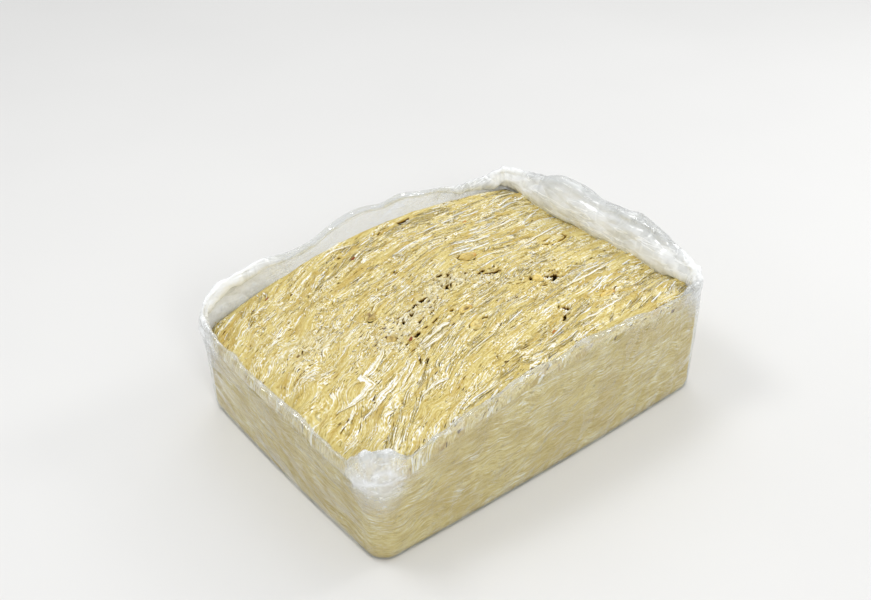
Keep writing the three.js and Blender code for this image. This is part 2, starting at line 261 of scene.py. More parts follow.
# Collar of the film: share of the way round from the near corner, height over the slab's edge, outward lean,
# length of the folded lip, milkiness and pleating
COLLAR = np.array([
    (0.0, 37, 0, 10, 0.5, 1.0),
    (0.008, 34, 0, 10, 0.5, 1.0),
    (0.027, 13, 1, 5, 0.15, 0.4),
    (0.25, 9, 2, 4, 0.12, 0.2),
    (0.3, 20, 1, 17, 0.75, 0.9),
    (0.335, 35, 2, 37, 0.7, 0.2),
    (0.43, 35, 2, 37, 0.7, 0.1),
    (0.5, 22, 1, 18, 0.8, 0.8),
    (0.55, 8, 1, 4, 0.5, 0.4),
    (0.585, 17, 2, 5, 0.25, 0.3),
    (0.65, 20, 2, 5, 0.08, 0.1),
    (0.7, 13, 2, 5, 0.25, 0.2),
    (0.765, 30, 1, 10, 1.0, 1.0),
    (0.79, 27, 1, 12, 1.0, 1.0),
    (0.83, 11, 2, 5, 0.15, 0.3),
    (0.973, 12, 1, 5, 0.15, 0.4),
    (0.992, 34, 0, 10, 0.5, 1.0),
    (1.0, 37, 0, 10, 0.5, 1.0),
])
COLLAR_HEIGHT, COLLAR_LEAN, COLLAR_LIP, COLLAR_MILK, COLLAR_PLEAT = range(1, 6)

# Folds of the film: length round the slab and along the section, height on the wall, on the collar and on
# its pleats, and number of their noise
FILM_FOLDS = [
    (64, 34, 0.3, 2.2, 0.3, 61),
    (28, 18, 0.2, 0.6, 0.6, 62),
    (11, 40, 0.06, 0.0, 1.5, 63),
    (7, 60, 0.0, 0.0, 0.9, 64),
    (110, 11, 0.1, 1.3, 0.2, 66),
]
FILM_THICKNESS = 0.2
FILM_LOOSENESS = 1.5
FILM_SLACK = 0.8
FILM_BASE_ROUNDING = 2
FILM_BASE_SLACK = 0.6
FILM_SHOULDER = 12
FILM_WANDER = 9
RUFFLE = 2.4
RUFFLE_LENGTH = 34
RIM_RAGGEDNESS = 0.16
RIM_LENGTH = 26

# Fineness of the top's grid, as the ends of its fine stretch and the steps in and beside it, and numbers of
# rows, pieces and steps
FINE_ALONG = (-105, 95, 1.05, 2.0)
FINE_ACROSS = (-62, 42, 0.66, 1.2)
SHOULDER_CELLS = 7
SIDE_ROWS = 14
SIDE_START = 0.998
PALE_STRANDS = 2200
STRAW_STRANDS = 2600
WHITE_THREADS = 150
RIBBONS = 650
CHIPS = 1300
FILM_POINTS = 620
FILM_BASE_STEPS = 5
FILM_WALL_STEPS = 21
FILM_FOLD_STEPS = 7
FILM_LIP_STEPS = 16
RIM_COLUMN = FILM_BASE_STEPS + 2 * FILM_WALL_STEPS + FILM_FOLD_STEPS // 2

# Colours, as they look on a screen
STRAW = (220, 203, 132)
TAN = (195, 170, 94)
# Painted shade: warm brown laid into the low places of the top
HOLLOW_SHADE = (184, 150, 68)
CREAM = (236, 223, 162)
# Near white of the pale fibres, partly their own colour and partly painted sheen
STRAND_AND_SHEEN = (254, 255, 250)
# Painted shade in gaps and crevices
GAP_SHADE = (112, 80, 24)
# Painted shade of fine slits
SLIT_SHADE = (90, 62, 12)
# Painted shade, near black, in the deepest gaps
DEEP_SHADE = (30, 20, 4)
NUT_AMBER = (208, 182, 104)
NUT_PALE = (242, 216, 126)
# Dark of the nuts: their mottling and darker kinds, and painted shade in hollows, grooves and undersides
NUT_DARK_AND_SHADE = (112, 84, 34)
NUT_TIP = (206, 144, 36)
SKIN_RED = (136, 52, 12)
SKIN_ORANGE = (200, 132, 44)
FILM_WHITE = (246, 248, 248)
FLOOR_GREY = (224, 224, 223)
FLOOR_PALE = (230, 230, 229)

# Floor and lights: the floor's half width and level, then each light's name, place, size and power, in metres
# and watts
FLOOR_REACH = 6.0
FLOOR_LEVEL = -0.0004
LIGHTS = [
    ("key", (-0.5, 0.5, 1.45), 0.45, 5.8),
    ("front", (-0.5, -1.3, 1.0), 0.35, 5.6),
    ("right", (1.3, -0.3, 0.9), 0.4, 5),
    ("back", (1.3, 1.7, 2.2), 1.5, 10),
]
LIGHT_AIM = (0, 0, 0.06)
SURROUNDINGS = 0.69

# Camera, from the photograph's vanishing lines: its place, the way it looks and its right
CAMERA_PLACE = (-519.8, -643.5, 659.6)
CAMERA_AHEAD = (0.50894, 0.65523, -0.55827)
CAMERA_RIGHT = (0.78342, -0.62131, -0.01503)
CAMERA_LENS = 46.5
CAMERA_SENSOR = 36

rng = np.random.default_rng(7)


# Numbers shared by all shapes

def cell_value(i, j, seed):
    """A repeatable number from 0 to 1 for whole-number cells: the fraction of a large sine."""
    wave = np.sin(i * 127.1 + j * 311.7 + seed * 74.7) * 43758.5453
    return wave - np.floor(wave)


def smooth(t):
    """The S-curve 3 t squared minus 2 t cubed."""
    return t * t * (3 - 2 * t)


def step_between(value, low, high):
    """0 below low, 1 above high, and an S-curve between them."""
    return smooth(np.clip((value - low) / (high - low), 0, 1))


def bell(value, width):
    """A bell curve: e to the power of minus the square of value over width."""
    return np.exp(-((value / width) ** 2))


def soft_noise(u, v, seed, turns=None):
    """Soft noise from 0 to 1: the values of the four nearest cells, blended by S-curves. With turns,
    the cells repeat after that many along u."""
    i = np.floor(u)
    j = np.floor(v)
    s = smooth(u - i)
    t = smooth(v - j)
    first, second = (i, i + 1) if turns is None else (i % turns, (i + 1) % turns)
    near = cell_value(first, j, seed) * (1 - s) + cell_value(second, j, seed) * s
    far = cell_value(first, j + 1, seed) * (1 - s) + cell_value(second, j + 1, seed) * s
    return near * (1 - t) + far * t


def crest_noise(u, v, seed, turns=None):
    """Noise from -1 to 1 with sharp crests: one less four times the distance of soft noise from a half."""
    return 1 - 2 * np.abs(2 * soft_noise(u, v, seed, turns) - 1)


# The slab's large form

def plan_point(p, q):
    """Plan of the slab: the unit square with its corners rounded and its sides bowed out."""
    ring = np.maximum(np.abs(p), np.abs(q))
    whole = np.where(ring > 0, ring, 1)
    edge = np.stack([HALF_LENGTH * p / whole, HALF_WIDTH * q / whole])
    straight = np.array([HALF_LENGTH - CORNER_RADIUS, HALF_WIDTH - CORNER_RADIUS])
    corner = np.stack([np.sign(p) * straight[0], np.sign(q) * straight[1]])
    past = edge - corner
    turned = (past[0] * p > 0) & (past[1] * q > 0)
    reach = np.hypot(past[0], past[1])
    rounded = corner + CORNER_RADIUS * past / np.where(reach > 0, reach, 1)
    flat = np.where(turned, rounded, edge) * ring
    return flat[0] + SIDE_BOW * p * (1 - q * q), flat[1] + SIDE_BOW * q * (1 - p * p)


def inset(p, q):
    """Distance from a point of the plan in to the nearest side, by the distance to a rounded box."""
    x, y = plan_point(p, q)
    past_x = np.abs(x - SIDE_BOW * p * (1 - q * q)) - (HALF_LENGTH - CORNER_RADIUS)
    past_y = np.abs(y - SIDE_BOW * q * (1 - p * p)) - (HALF_WIDTH - CORNER_RADIUS)
    outside = np.hypot(np.maximum(past_x, 0), np.maximum(past_y, 0))
    return np.maximum(0, CORNER_RADIUS - outside - np.minimum(np.maximum(past_x, past_y), 0))


def crown(x, y):
    """Smooth dome: a height less two squared falls, with a slow roll."""
    fall = CROWN_FALL_ALONG * ((x - CROWN_X) / HALF_LENGTH) ** 2 + CROWN_FALL_ACROSS * (y / HALF_WIDTH) ** 2
    return CROWN_HEIGHT - fall + CROWN_ROLL * (soft_noise(x / CROWN_ROLL_SPAN, y / CROWN_ROLL_SPAN, 5) - 0.5)


def shoulder_drop(distance):
    """How far a quarter-round shoulder lies under the dome at a distance in from the side."""
    reach = np.maximum(0, SHOULDER_RADIUS - distance)
    return SHOULDER_RADIUS - np.sqrt(SHOULDER_RADIUS ** 2 - reach ** 2)


def across_grain(x, y):
    """Position across the fibres: y less a curve whose slope is the fibres' slope."""
    left = (HALF_LENGTH - x) / LENGTH
    sweep = GRAIN_SLOPE * x - GRAIN_CURVE * LENGTH * left ** 3
    return y - sweep * (1 - GRAIN_FAN * y / WIDTH)


def flow_angle(x, y):
    """Direction of the fibres: along the line on which across_grain stays the same, turned a little by
    waves of two sizes, more by a wave at the left, and a lot at the swirl."""
    step = 0.5
    rise_x = across_grain(x + step, y) - across_grain(x - step, y)
    rise_y = across_grain(x, y + step) - across_grain(x, y - step)
    angle = np.arctan2(-rise_x, rise_y)
    for length, width, turn, seed in GRAIN_WAVES:
        angle = angle + turn * (2 * soft_noise(x / length, y / width, seed) - 1)
    angle = angle + LEFT_TURN * at_left(x) * (2 * soft_noise(x / 24, y / 18, 47) - 1)
    return angle + SWIRL_TURN * bell(np.hypot(x - SWIRL[0], y - SWIRL[1]), SWIRL_RADIUS)


def at_left(x):
    """1 at the left end of the top, falling to 0 near its middle."""
    return 1 - step_between(x, -130, -40)


def left_curl(x, y):
    """Shift of the fibres across the grain at the left, by soft noise of two sizes."""
    broad = soft_noise(x / 26, y / 26, 45) - 0.5
    return at_left(x) * (16 * broad + 5 * (soft_noise(x / 9, y / 9, 46) - 0.5))


def plates(x, across):
    """Terraces with steep edges along the grain."""
    level = soft_noise(x / PLATE_LENGTH, across / PLATE_WIDTH, 1) * PLATE_LAYERS
    edge = np.clip((level - np.floor(level) - 0.5) / PLATE_EDGE + 0.5, 0, 1)
    return PLATE_STEP * (np.floor(level) + smooth(edge) - PLATE_LAYERS / 2)


def crack_distance(x, y):
    """Distance to the crack's middle line: the least distance to its straight stretches."""
    least = np.full(np.shape(x), np.inf)
    for (ax, ay), (bx, by) in zip(CRACK[:-1], CRACK[1:]):
        run = np.array([bx - ax, by - ay])
        t = np.clip(((x - ax) * run[0] + (y - ay) * run[1]) / (run @ run), 0, 1)
        least = np.minimum(least, np.hypot(x - ax - t * run[0], y - ay - t * run[1]))
    return least


def turned_offset(x, y, cx, cy, turn):
    """Offset from a centre, in axes turned from +X by an angle in degrees."""
    c, s = math.cos(math.radians(turn)), math.sin(math.radians(turn))
    return (x - cx) * c + (y - cy) * s, (y - cy) * c - (x - cx) * s


def hollow(x, y, cx, cy, length, width, depth, turn):
    """Depth of an oval hollow: a bell curve along and across."""
    u, v = turned_offset(x, y, cx, cy, turn)
    return depth * bell(u, length / 2) * bell(v, width / 2)


def large_relief(x, y):
    """Plates and ridges less the crack, the pits and the hollows that hold nuts."""
    across = across_grain(x, y)
    broken = 0.35 + 0.65 * soft_noise(x / CRACK_BREAK, y / CRACK_BREAK, 3)
    height = plates(x, across) + RIDGE_HEIGHT * crest_noise(x / RIDGE_LENGTH, across / RIDGE_WIDTH, 2)
    height -= CRACK_DEPTH * broken * bell(crack_distance(x, y), CRACK_HALF_WIDTH)
    for pit in PITS:
        height -= hollow(x, y, *pit)
    for _, cx, cy, size, turn, *_ in NUTS:
        height -= hollow(x, y, cx, cy, size[0] * 2.6, size[1] * 2.8, NUT_HOLLOW, turn)
    return height


# Meshes

def make_piece(name, points, faces, finish, slot, stands_for=(), **attributes):
    """A mesh object from points in the slab's frame and faces in blocks of one size, with values at its
    points for the finish to read. It rides on the part and stands for the named nodes."""
    mesh = bpy.data.meshes.new(name)
    sides = [face for block in faces for face in block.tolist()]
    mesh.from_pydata(((points + PART_SHIFT) * MM).tolist(), [], sides)
    for key, values in attributes.items():
        kind, field = ("FLOAT", "value") if values.ndim == 1 else ("FLOAT_VECTOR", "vector")
        mesh.attributes.new(key, kind, "POINT").data.foreach_set(field, values.astype(np.float32).ravel())
    mesh.polygons.foreach_set("use_smooth", np.ones(len(mesh.polygons), dtype=bool))
    mesh.materials.append(finish)
    mesh.update()
    piece = bpy.data.objects.new(name, mesh)
    bpy.context.scene.collection.objects.link(piece)
    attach(piece, "root")
    if stands_for:
        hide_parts(*stands_for)
    return piece


def grid_faces(index):
    """Four-sided faces between neighbours of a grid of point numbers."""
    return np.stack([index[:-1, :-1], index[1:, :-1], index[1:, 1:], index[:-1, 1:]], -1).reshape(-1, 4)


def ring_faces(rings):
    """Four-sided faces between closed rings of point numbers, the first ring lowest, facing outwards."""
    after = np.roll(rings, -1, axis=1)
    return np.stack([rings[:-1], after[:-1], after[1:], rings[1:]], -1).reshape(-1, 4)


def fan_faces(ring, centre):
    """Triangles from an anticlockwise ring to one point, facing up."""
    return np.stack([ring, np.roll(ring, -1), np.full(len(ring), centre)], -1)


# Finishes

def colour(red, green, blue):
    """Light values of a colour given as it looks on a screen, 0 to 255."""
    share = np.array([red, green, blue]) / 255
    light = np.where(share <= 0.04045, share / 12.92, ((share + 0.055) / 1.055) ** 2.4)
    return (*light.tolist(), 1.0)


class Value:
    """A number that a finish works out: the output socket of a node, with arithmetic."""

    def __init__(self, finish, socket):
        self.finish = finish
        self.socket = socket

    def math(self, operation, first, second=0.0):
        return self.finish.node("ShaderNodeMath", {"operation": operation}, {0: first, 1: second})

    def __add__(self, other):
        return self.math("ADD", self, other)

    def __sub__(self, other):
        return self.math("SUBTRACT", self, other)

    def __rsub__(self, other):
        return self.math("SUBTRACT", other, self)

    def __mul__(self, other):
        return self.math("MULTIPLY", self, other)

    __radd__ = __add__
    __rmul__ = __mul__

    def between(self, low, high):
        """0 below low, 1 above high, and an S-curve between them."""
        settings = {"interpolation_type": "SMOOTHSTEP"}
        sockets = {"Value": self, "From Min": low, "From Max": high}
        return self.finish.node("ShaderNodeMapRange", settings, sockets)


class Finish:
    """A material made of nodes."""

    def __init__(self, name):
        self.material = bpy.data.materials.new(name)
        self.material.use_nodes = True
        self.tree = self.material.node_tree
        self.tree.nodes.clear()

    def node(self, kind, settings=None, sockets=None, out=0):
        """Adds a node of a kind, sets its settings, then its sockets' values or links."""
        made = self.tree.nodes.new(kind)
        for key, value in (settings or {}).items():
            setattr(made, key, value)
        for key, value in (sockets or {}).items():
            if isinstance(value, Value):
                self.tree.links.new(value.socket, made.inputs[key])
            else:
                made.inputs[key].default_value = value
        return Value(self, made.outputs[out]) if made.outputs else None

    def attribute(self, name, out="Fac"):
        return self.node("ShaderNodeAttribute", {"attribute_name": name}, out=out)

    def place(self):
        """Position in the part's frame, in metres."""
        return self.node("ShaderNodeTexCoord", out="Object")

    def part(self, vector, out):
        return self.node("ShaderNodeSeparateXYZ", {}, {0: vector}, out=out)

    def mix(self, share, first, second):
        """A colour that goes from first to second."""
        return self.node("ShaderNodeMix", {"data_type": "RGBA"}, {0: share, 6: first, 7: second}, out=2)

    def scaled(self, vector, *factors):
        return self.node("ShaderNodeVectorMath", {"operation": "MULTIPLY"}, {0: vector, 1: factors})

    def shifted(self, vector, across):
        """A vector moved along its second axis."""
        shift = self.node("ShaderNodeCombineXYZ", {}, {1: across})
        return self.node("ShaderNodeVectorMath", {"operation": "ADD"}, {0: vector, 1: shift})

    def noise(self, vector, scale=1.0, detail=2.0, roughness=0.5):
        sockets = {"Vector": vector, "Scale": scale, "Detail": detail, "Roughness": roughness}
        return self.node("ShaderNodeTexNoise", {}, sockets)

    def cells(self, vector, scale):
        """Distance to the nearest edge between uneven cells, about a half in the middle of a cell."""
        sockets = {"Vector": vector, "Scale": scale}
        return self.node("ShaderNodeTexVoronoi", {"feature": "DISTANCE_TO_EDGE"}, sockets)

    def bump(self, height, strength, distance):
        sockets = {"Strength": strength, "Distance": distance, "Height": height}
        return self.node("ShaderNodeBump", {}, sockets)

    def surface(self, shader):
        """Ends the finish with its shader."""
        self.node("ShaderNodeOutputMaterial", {}, {"Surface": shader})
        return self.material


def halva_finish(name, pale, light):
    """Halva: wavy streaks and fine fibres in tan, straw and cream along the grain, rough in patches with pale
    crumbs and dark dashes that are painted shade of fine slits, with painted shade in the gaps between flakes
    and in low places, and painted light on raised crests. The grain attribute holds millimetres along and
    across the fibres and a number for each flake; relief is the height over the surroundings, which sets the
    painted shade and light; tone makes a flake lighter or darker; crumbly places are painted paler to lift
    the shade of the crack's hollow, with dashes of painted slit shade that cross the grain; pressed sides are
    calmer, with wet patches. pale is how much the brightest fibres show, and light how strong the painted
    highlight on the crests is."""
    halva = Finish(name)
    grain = halva.attribute("grain", "Vector")
    relief = halva.attribute("relief")
    tone = halva.attribute("tone")
    wave = halva.noise(halva.scaled(grain, 0.03, 0.05, 5.0), detail=2.0)
    grain = halva.shifted(grain, wave * 9.0)
    streak = halva.noise(halva.scaled(grain, 0.016, 0.28, 9.0), detail=2.0, roughness=0.6)
    fibre = halva.noise(halva.scaled(grain, 0.045, 1.1, 17.0), detail=1.0, roughness=0.65)
    crumb = halva.noise(halva.scaled(grain, 0.5, 1.0, 29.0), detail=0.0)
    speck = halva.noise(halva.scaled(grain, 0.15, 0.85, 23.0), detail=0.0)
    slanted = halva.shifted(grain, halva.part(grain, "X") * 0.7)
    crossing = halva.noise(halva.scaled(slanted, 0.22, 0.8, 31.0), detail=0.0)
    patch = halva.noise(halva.scaled(grain, 0.03, 0.06, 11.0), detail=2.0)
    rough = patch.between(0.36, 0.62)
    pressed = halva.attribute("pressed")
    crumbly = halva.attribute("crumbly")
    loose = 1 - pressed * 0.6
    # Painted light: raised crests of the relief get more cream and, with light, a painted highlight
    lit_crest = relief.between(-0.1, 0.3)
    shade = streak * 0.8 + fibre + crumb * 0.9 - 0.85 + tone * 0.06
    body = halva.mix(shade.between(0.2, 0.85) * (lit_crest * 0.5 + 0.5), colour(*STRAW), colour(*CREAM))
    dull = (1 - (streak + tone * 0.02).between(0.34, 0.5)) * 0.5 + (1 - fibre.between(0.36, 0.48)) * 0.7
    dull = dull + (1 - crumb.between(0.36, 0.46)) * (rough * 0.5 + 0.3) * loose
    body = halva.mix(dull.between(0.0, 1.2), body, colour(*TAN))
    bright = (streak + tone * 0.02).between(0.58, 0.68) * 0.35 + fibre.between(0.56, 0.66) * pale
    bright = bright + crumb.between(0.56, 0.64) * (rough * 0.4 + 0.22) * loose
    bright = bright * (lit_crest * 0.6 + 0.4) + lit_crest * (streak + fibre) * light + crumbly * 0.3
    body = halva.mix(bright.between(0.1, 0.8), body, colour(*STRAND_AND_SHEEN))
    # Painted shade: low places of the relief go warm brown, less so where crumbly
    low = 1 - relief.between(-0.9, -0.25)
    body = halva.mix(low * (0.6 - crumbly * 0.35), body, colour(*HOLLOW_SHADE))
    # Painted light: crumbly places go paler, here and in the highlight mix above, to lift the shade in the
    # crack's hollow
    body = halva.mix(crumbly * 0.4, body, colour(*CREAM))
    wet = halva.noise(halva.place(), scale=28.0, detail=2.0).between(0.42, 0.6)
    body = halva.mix(wet * pressed * 0.4, body, colour(*TAN))
    # Painted shade of fine slits: dark dashes along the grain, and across it where crumbly; the bump sinks
    # them too
    dash = 1 - (speck - rough * 0.05 - crumbly * 0.02).between(0.19, 0.25)
    dash = dash * (rough * 0.5 + 0.38) + (1 - crossing.between(0.22, 0.28)) * crumbly * 0.4
    dash = dash.between(0.0, 1.0) * loose * (1 - light)
    body = halva.mix(dash, body, colour(*SLIT_SHADE))
    # Painted shade: gaps and crevices go brown by their depth, the deepest near black
    body = halva.mix(1 - relief.between(-1.9, -0.8), body, colour(*GAP_SHADE))
    body = halva.mix(1 - relief.between(-3.2, -1.6), body, colour(*DEEP_SHADE))
    normal = halva.bump(fibre * 0.7 + crumb * 0.5 + streak * 0.5 - dash * 0.9, 1.0, 0.0009)
    sockets = {"Base Color": body, "Roughness": 0.68 - bright * 0.12, "Normal": normal}
    sockets["Specular IOR Level"] = 0.03
    return halva.surface(halva.node("ShaderNodeBsdfPrincipled", {}, sockets))


def nut_finish():
    """Roasted nut: amber to pale by the tone attribute, which also holds a painted highlight on one side and
    painted shade on the other, mottled, darker where the dark attribute says, which is painted shade in the
    hollow, along the groove and under the nut as well as the darker nuts' own colour, ripe at one tip, and
    smeared with halva where the coat attribute outweighs a noise."""
    nut = Finish("nut")
    place = nut.place()
    mottle = nut.noise(place, scale=420.0, detail=3.0)
    smear = nut.noise(place, scale=260.0, detail=3.0)
    # tone also carries a painted highlight on one side of the nut and painted shade on the other
    body = nut.mix(nut.attribute("tone").between(0.0, 1.0), colour(*NUT_AMBER), colour(*NUT_PALE))
    body = nut.mix(mottle.between(0.45, 0.75) * 0.4, body, colour(*NUT_DARK_AND_SHADE))
    # The dark attribute: painted shade in the hollow, the groove and the underside, and the darker nuts' own
    # colour
    body = nut.mix(nut.attribute("dark").between(0.0, 1.0), body, colour(*NUT_DARK_AND_SHADE))
    body = nut.mix(nut.attribute("tip").between(0.1, 0.9) * 0.75, body, colour(*NUT_TIP))
    coated = (nut.attribute("coat") + smear - 1.0).between(-0.06, 0.1)
    body = nut.mix(coated, body, nut.mix(mottle.between(0.3, 0.7), colour(*STRAW), colour(*CREAM)))
    rough = 0.28 + coated * 0.35
    sockets = {"Base Color": body, "Roughness": rough, "Normal": nut.bump(mottle + coated * 0.6, 0.5, 0.0005)}
    return nut.surface(nut.node("ShaderNodeBsdfPrincipled", {}, sockets))


def skin_finish():
    """Thin red-brown seed skin, lighter along its veins."""
    skin = Finish("seed_skin")
    veins = skin.noise(skin.scaled(skin.attribute("grain", "Vector"), 0.3, 2.0, 3.0), detail=2.0)
    warm = skin.mix(skin.attribute("tone").between(0.0, 1.0), colour(*SKIN_RED), colour(*SKIN_ORANGE))
    body = skin.mix(veins.between(0.5, 0.85) * 0.2, warm, colour(*NUT_PALE))
    sockets = {"Base Color": body, "Roughness": 0.45 + veins * 0.2, "Normal": skin.bump(veins, 0.4, 0.0003)}
    return skin.surface(skin.node("ShaderNodeBsdfPrincipled", {}, sockets))


def film_finish():
    """Clear film: see-through with a glossy face that flat crumpled facets break up, a little haze, and white
    where the milk attribute says that it lies in many layers, finely pleated along its edge, with painted
    highlights along the facet edges and painted glints on the pleats, and white along its creases, partly
    the film's own whitening at folds and partly a painted glint."""
    film = Finish("film")
    milk = film.attribute("milk")
    crease_and_glint = film.attribute("crease_and_glint")
    place = film.place()
    stretched = film.scaled(place, 0.8, 0.45, 0.8)
    facet = film.cells(stretched, 40.0)
    small = film.cells(stretched, 110.0)
    swell = film.noise(place, scale=16.0, detail=1.0)
    cloud = film.noise(place, scale=20.0, detail=2.0)
    crumple = (facet + small * 0.28) * (1 - milk * 0.5)
    along_length = film.noise(film.scaled(place, 0.14, 1.0, 1.0), scale=170.0, detail=2.0)
    along_width = film.noise(film.scaled(place, 1.0, 0.14, 1.0), scale=170.0, detail=2.0)
    at_end = film.part(place, "X").between(0.150, 0.165)
    pleat = along_length + at_end * (along_width - along_length)
    normal = film.bump(crumple + swell * 0.4 + pleat * milk * 0.22, 0.75, 0.010)
    # Painted highlights: white lines along the facet edges
    edges = (1 - facet * 26.0).between(0.0, 1.0) * 0.6 + (1 - small * 14.0).between(0.0, 1.0) * 0.3
    layers = milk * (cloud.between(0.3, 0.7) * 0.4 + 0.6)
    # Painted glint: a thin bright line on the pleats, in milky places
    glint = pleat.between(0.56, 0.6) * (1 - pleat.between(0.6, 0.64))
    white = cloud.between(0.45, 0.7) * 0.03 + layers + edges * (milk * 0.15 + 0.04) + glint * milk * 0.5
    # Creases: white, partly the film's own whitening at folds and partly a painted glint
    white = (white + crease_and_glint * (milk * 0.3 + 0.4)).between(0.0, 1.0)
    slant = film.node("ShaderNodeLayerWeight", {}, {"Blend": 0.5, "Normal": normal}, out="Facing")
    slant = slant * slant
    gloss = slant * slant * 0.45 + 0.06
    clear = film.node("ShaderNodeBsdfTransparent", {}, {"Color": (0.96, 0.965, 0.965, 1.0)})
    shine_sockets = {"Color": (1.0, 1.0, 1.0, 1.0), "Roughness": 0.06, "Normal": normal}
    shine = film.node("ShaderNodeBsdfGlossy", {}, shine_sockets)
    skin = film.node("ShaderNodeMixShader", {}, {0: gloss, 1: clear, 2: shine})
    body_sockets = {"Base Color": colour(*FILM_WHITE), "Roughness": 0.2, "Normal": normal}
    body_sockets["Specular IOR Level"] = 0.9
    body = film.node("ShaderNodeBsdfPrincipled", {}, body_sockets)
    return film.surface(film.node("ShaderNodeMixShader", {}, {0: white, 1: skin, 2: body}))


# The halva slab

def stations(half, fine):
    """Grid stations from -1 to 1: even round the quarter arc of each shoulder, close together over a fine
    stretch and wider apart beside it."""
    low, high, step, wide = fine
    flat = half - SHOULDER_RADIUS
    arc = np.linspace(0, math.pi / 2, SHOULDER_CELLS + 1)[:-1]
    edge = -1 + SHOULDER_RADIUS / half * (1 - np.cos(arc))
    middle = []
    for start, end, size in ((-flat, low, wide), (low, high, step), (high, flat, wide)):
        middle.append(np.linspace(start, end, round((end - start) / size) + 1)[:-1] / half)
    return np.concatenate([edge, *middle, [flat / half], -edge[::-1]])


def blurred(field, cells):
    """A field averaged twice over a square of cells: differences of running sums along each axis."""
    for axis in (0, 1, 0, 1):
        padding = [(0, 0), (0, 0)]
        padding[axis] = (cells + 1, cells)
        total = np.cumsum(np.pad(field, padding, mode="edge"), axis=axis)
        size = field.shape[axis]
        high = np.take(total, np.arange(size) + 2 * cells + 1, axis=axis)
        low = np.take(total, np.arange(size), axis=axis)
        field = (high - low) / (2 * cells + 1)
    return field


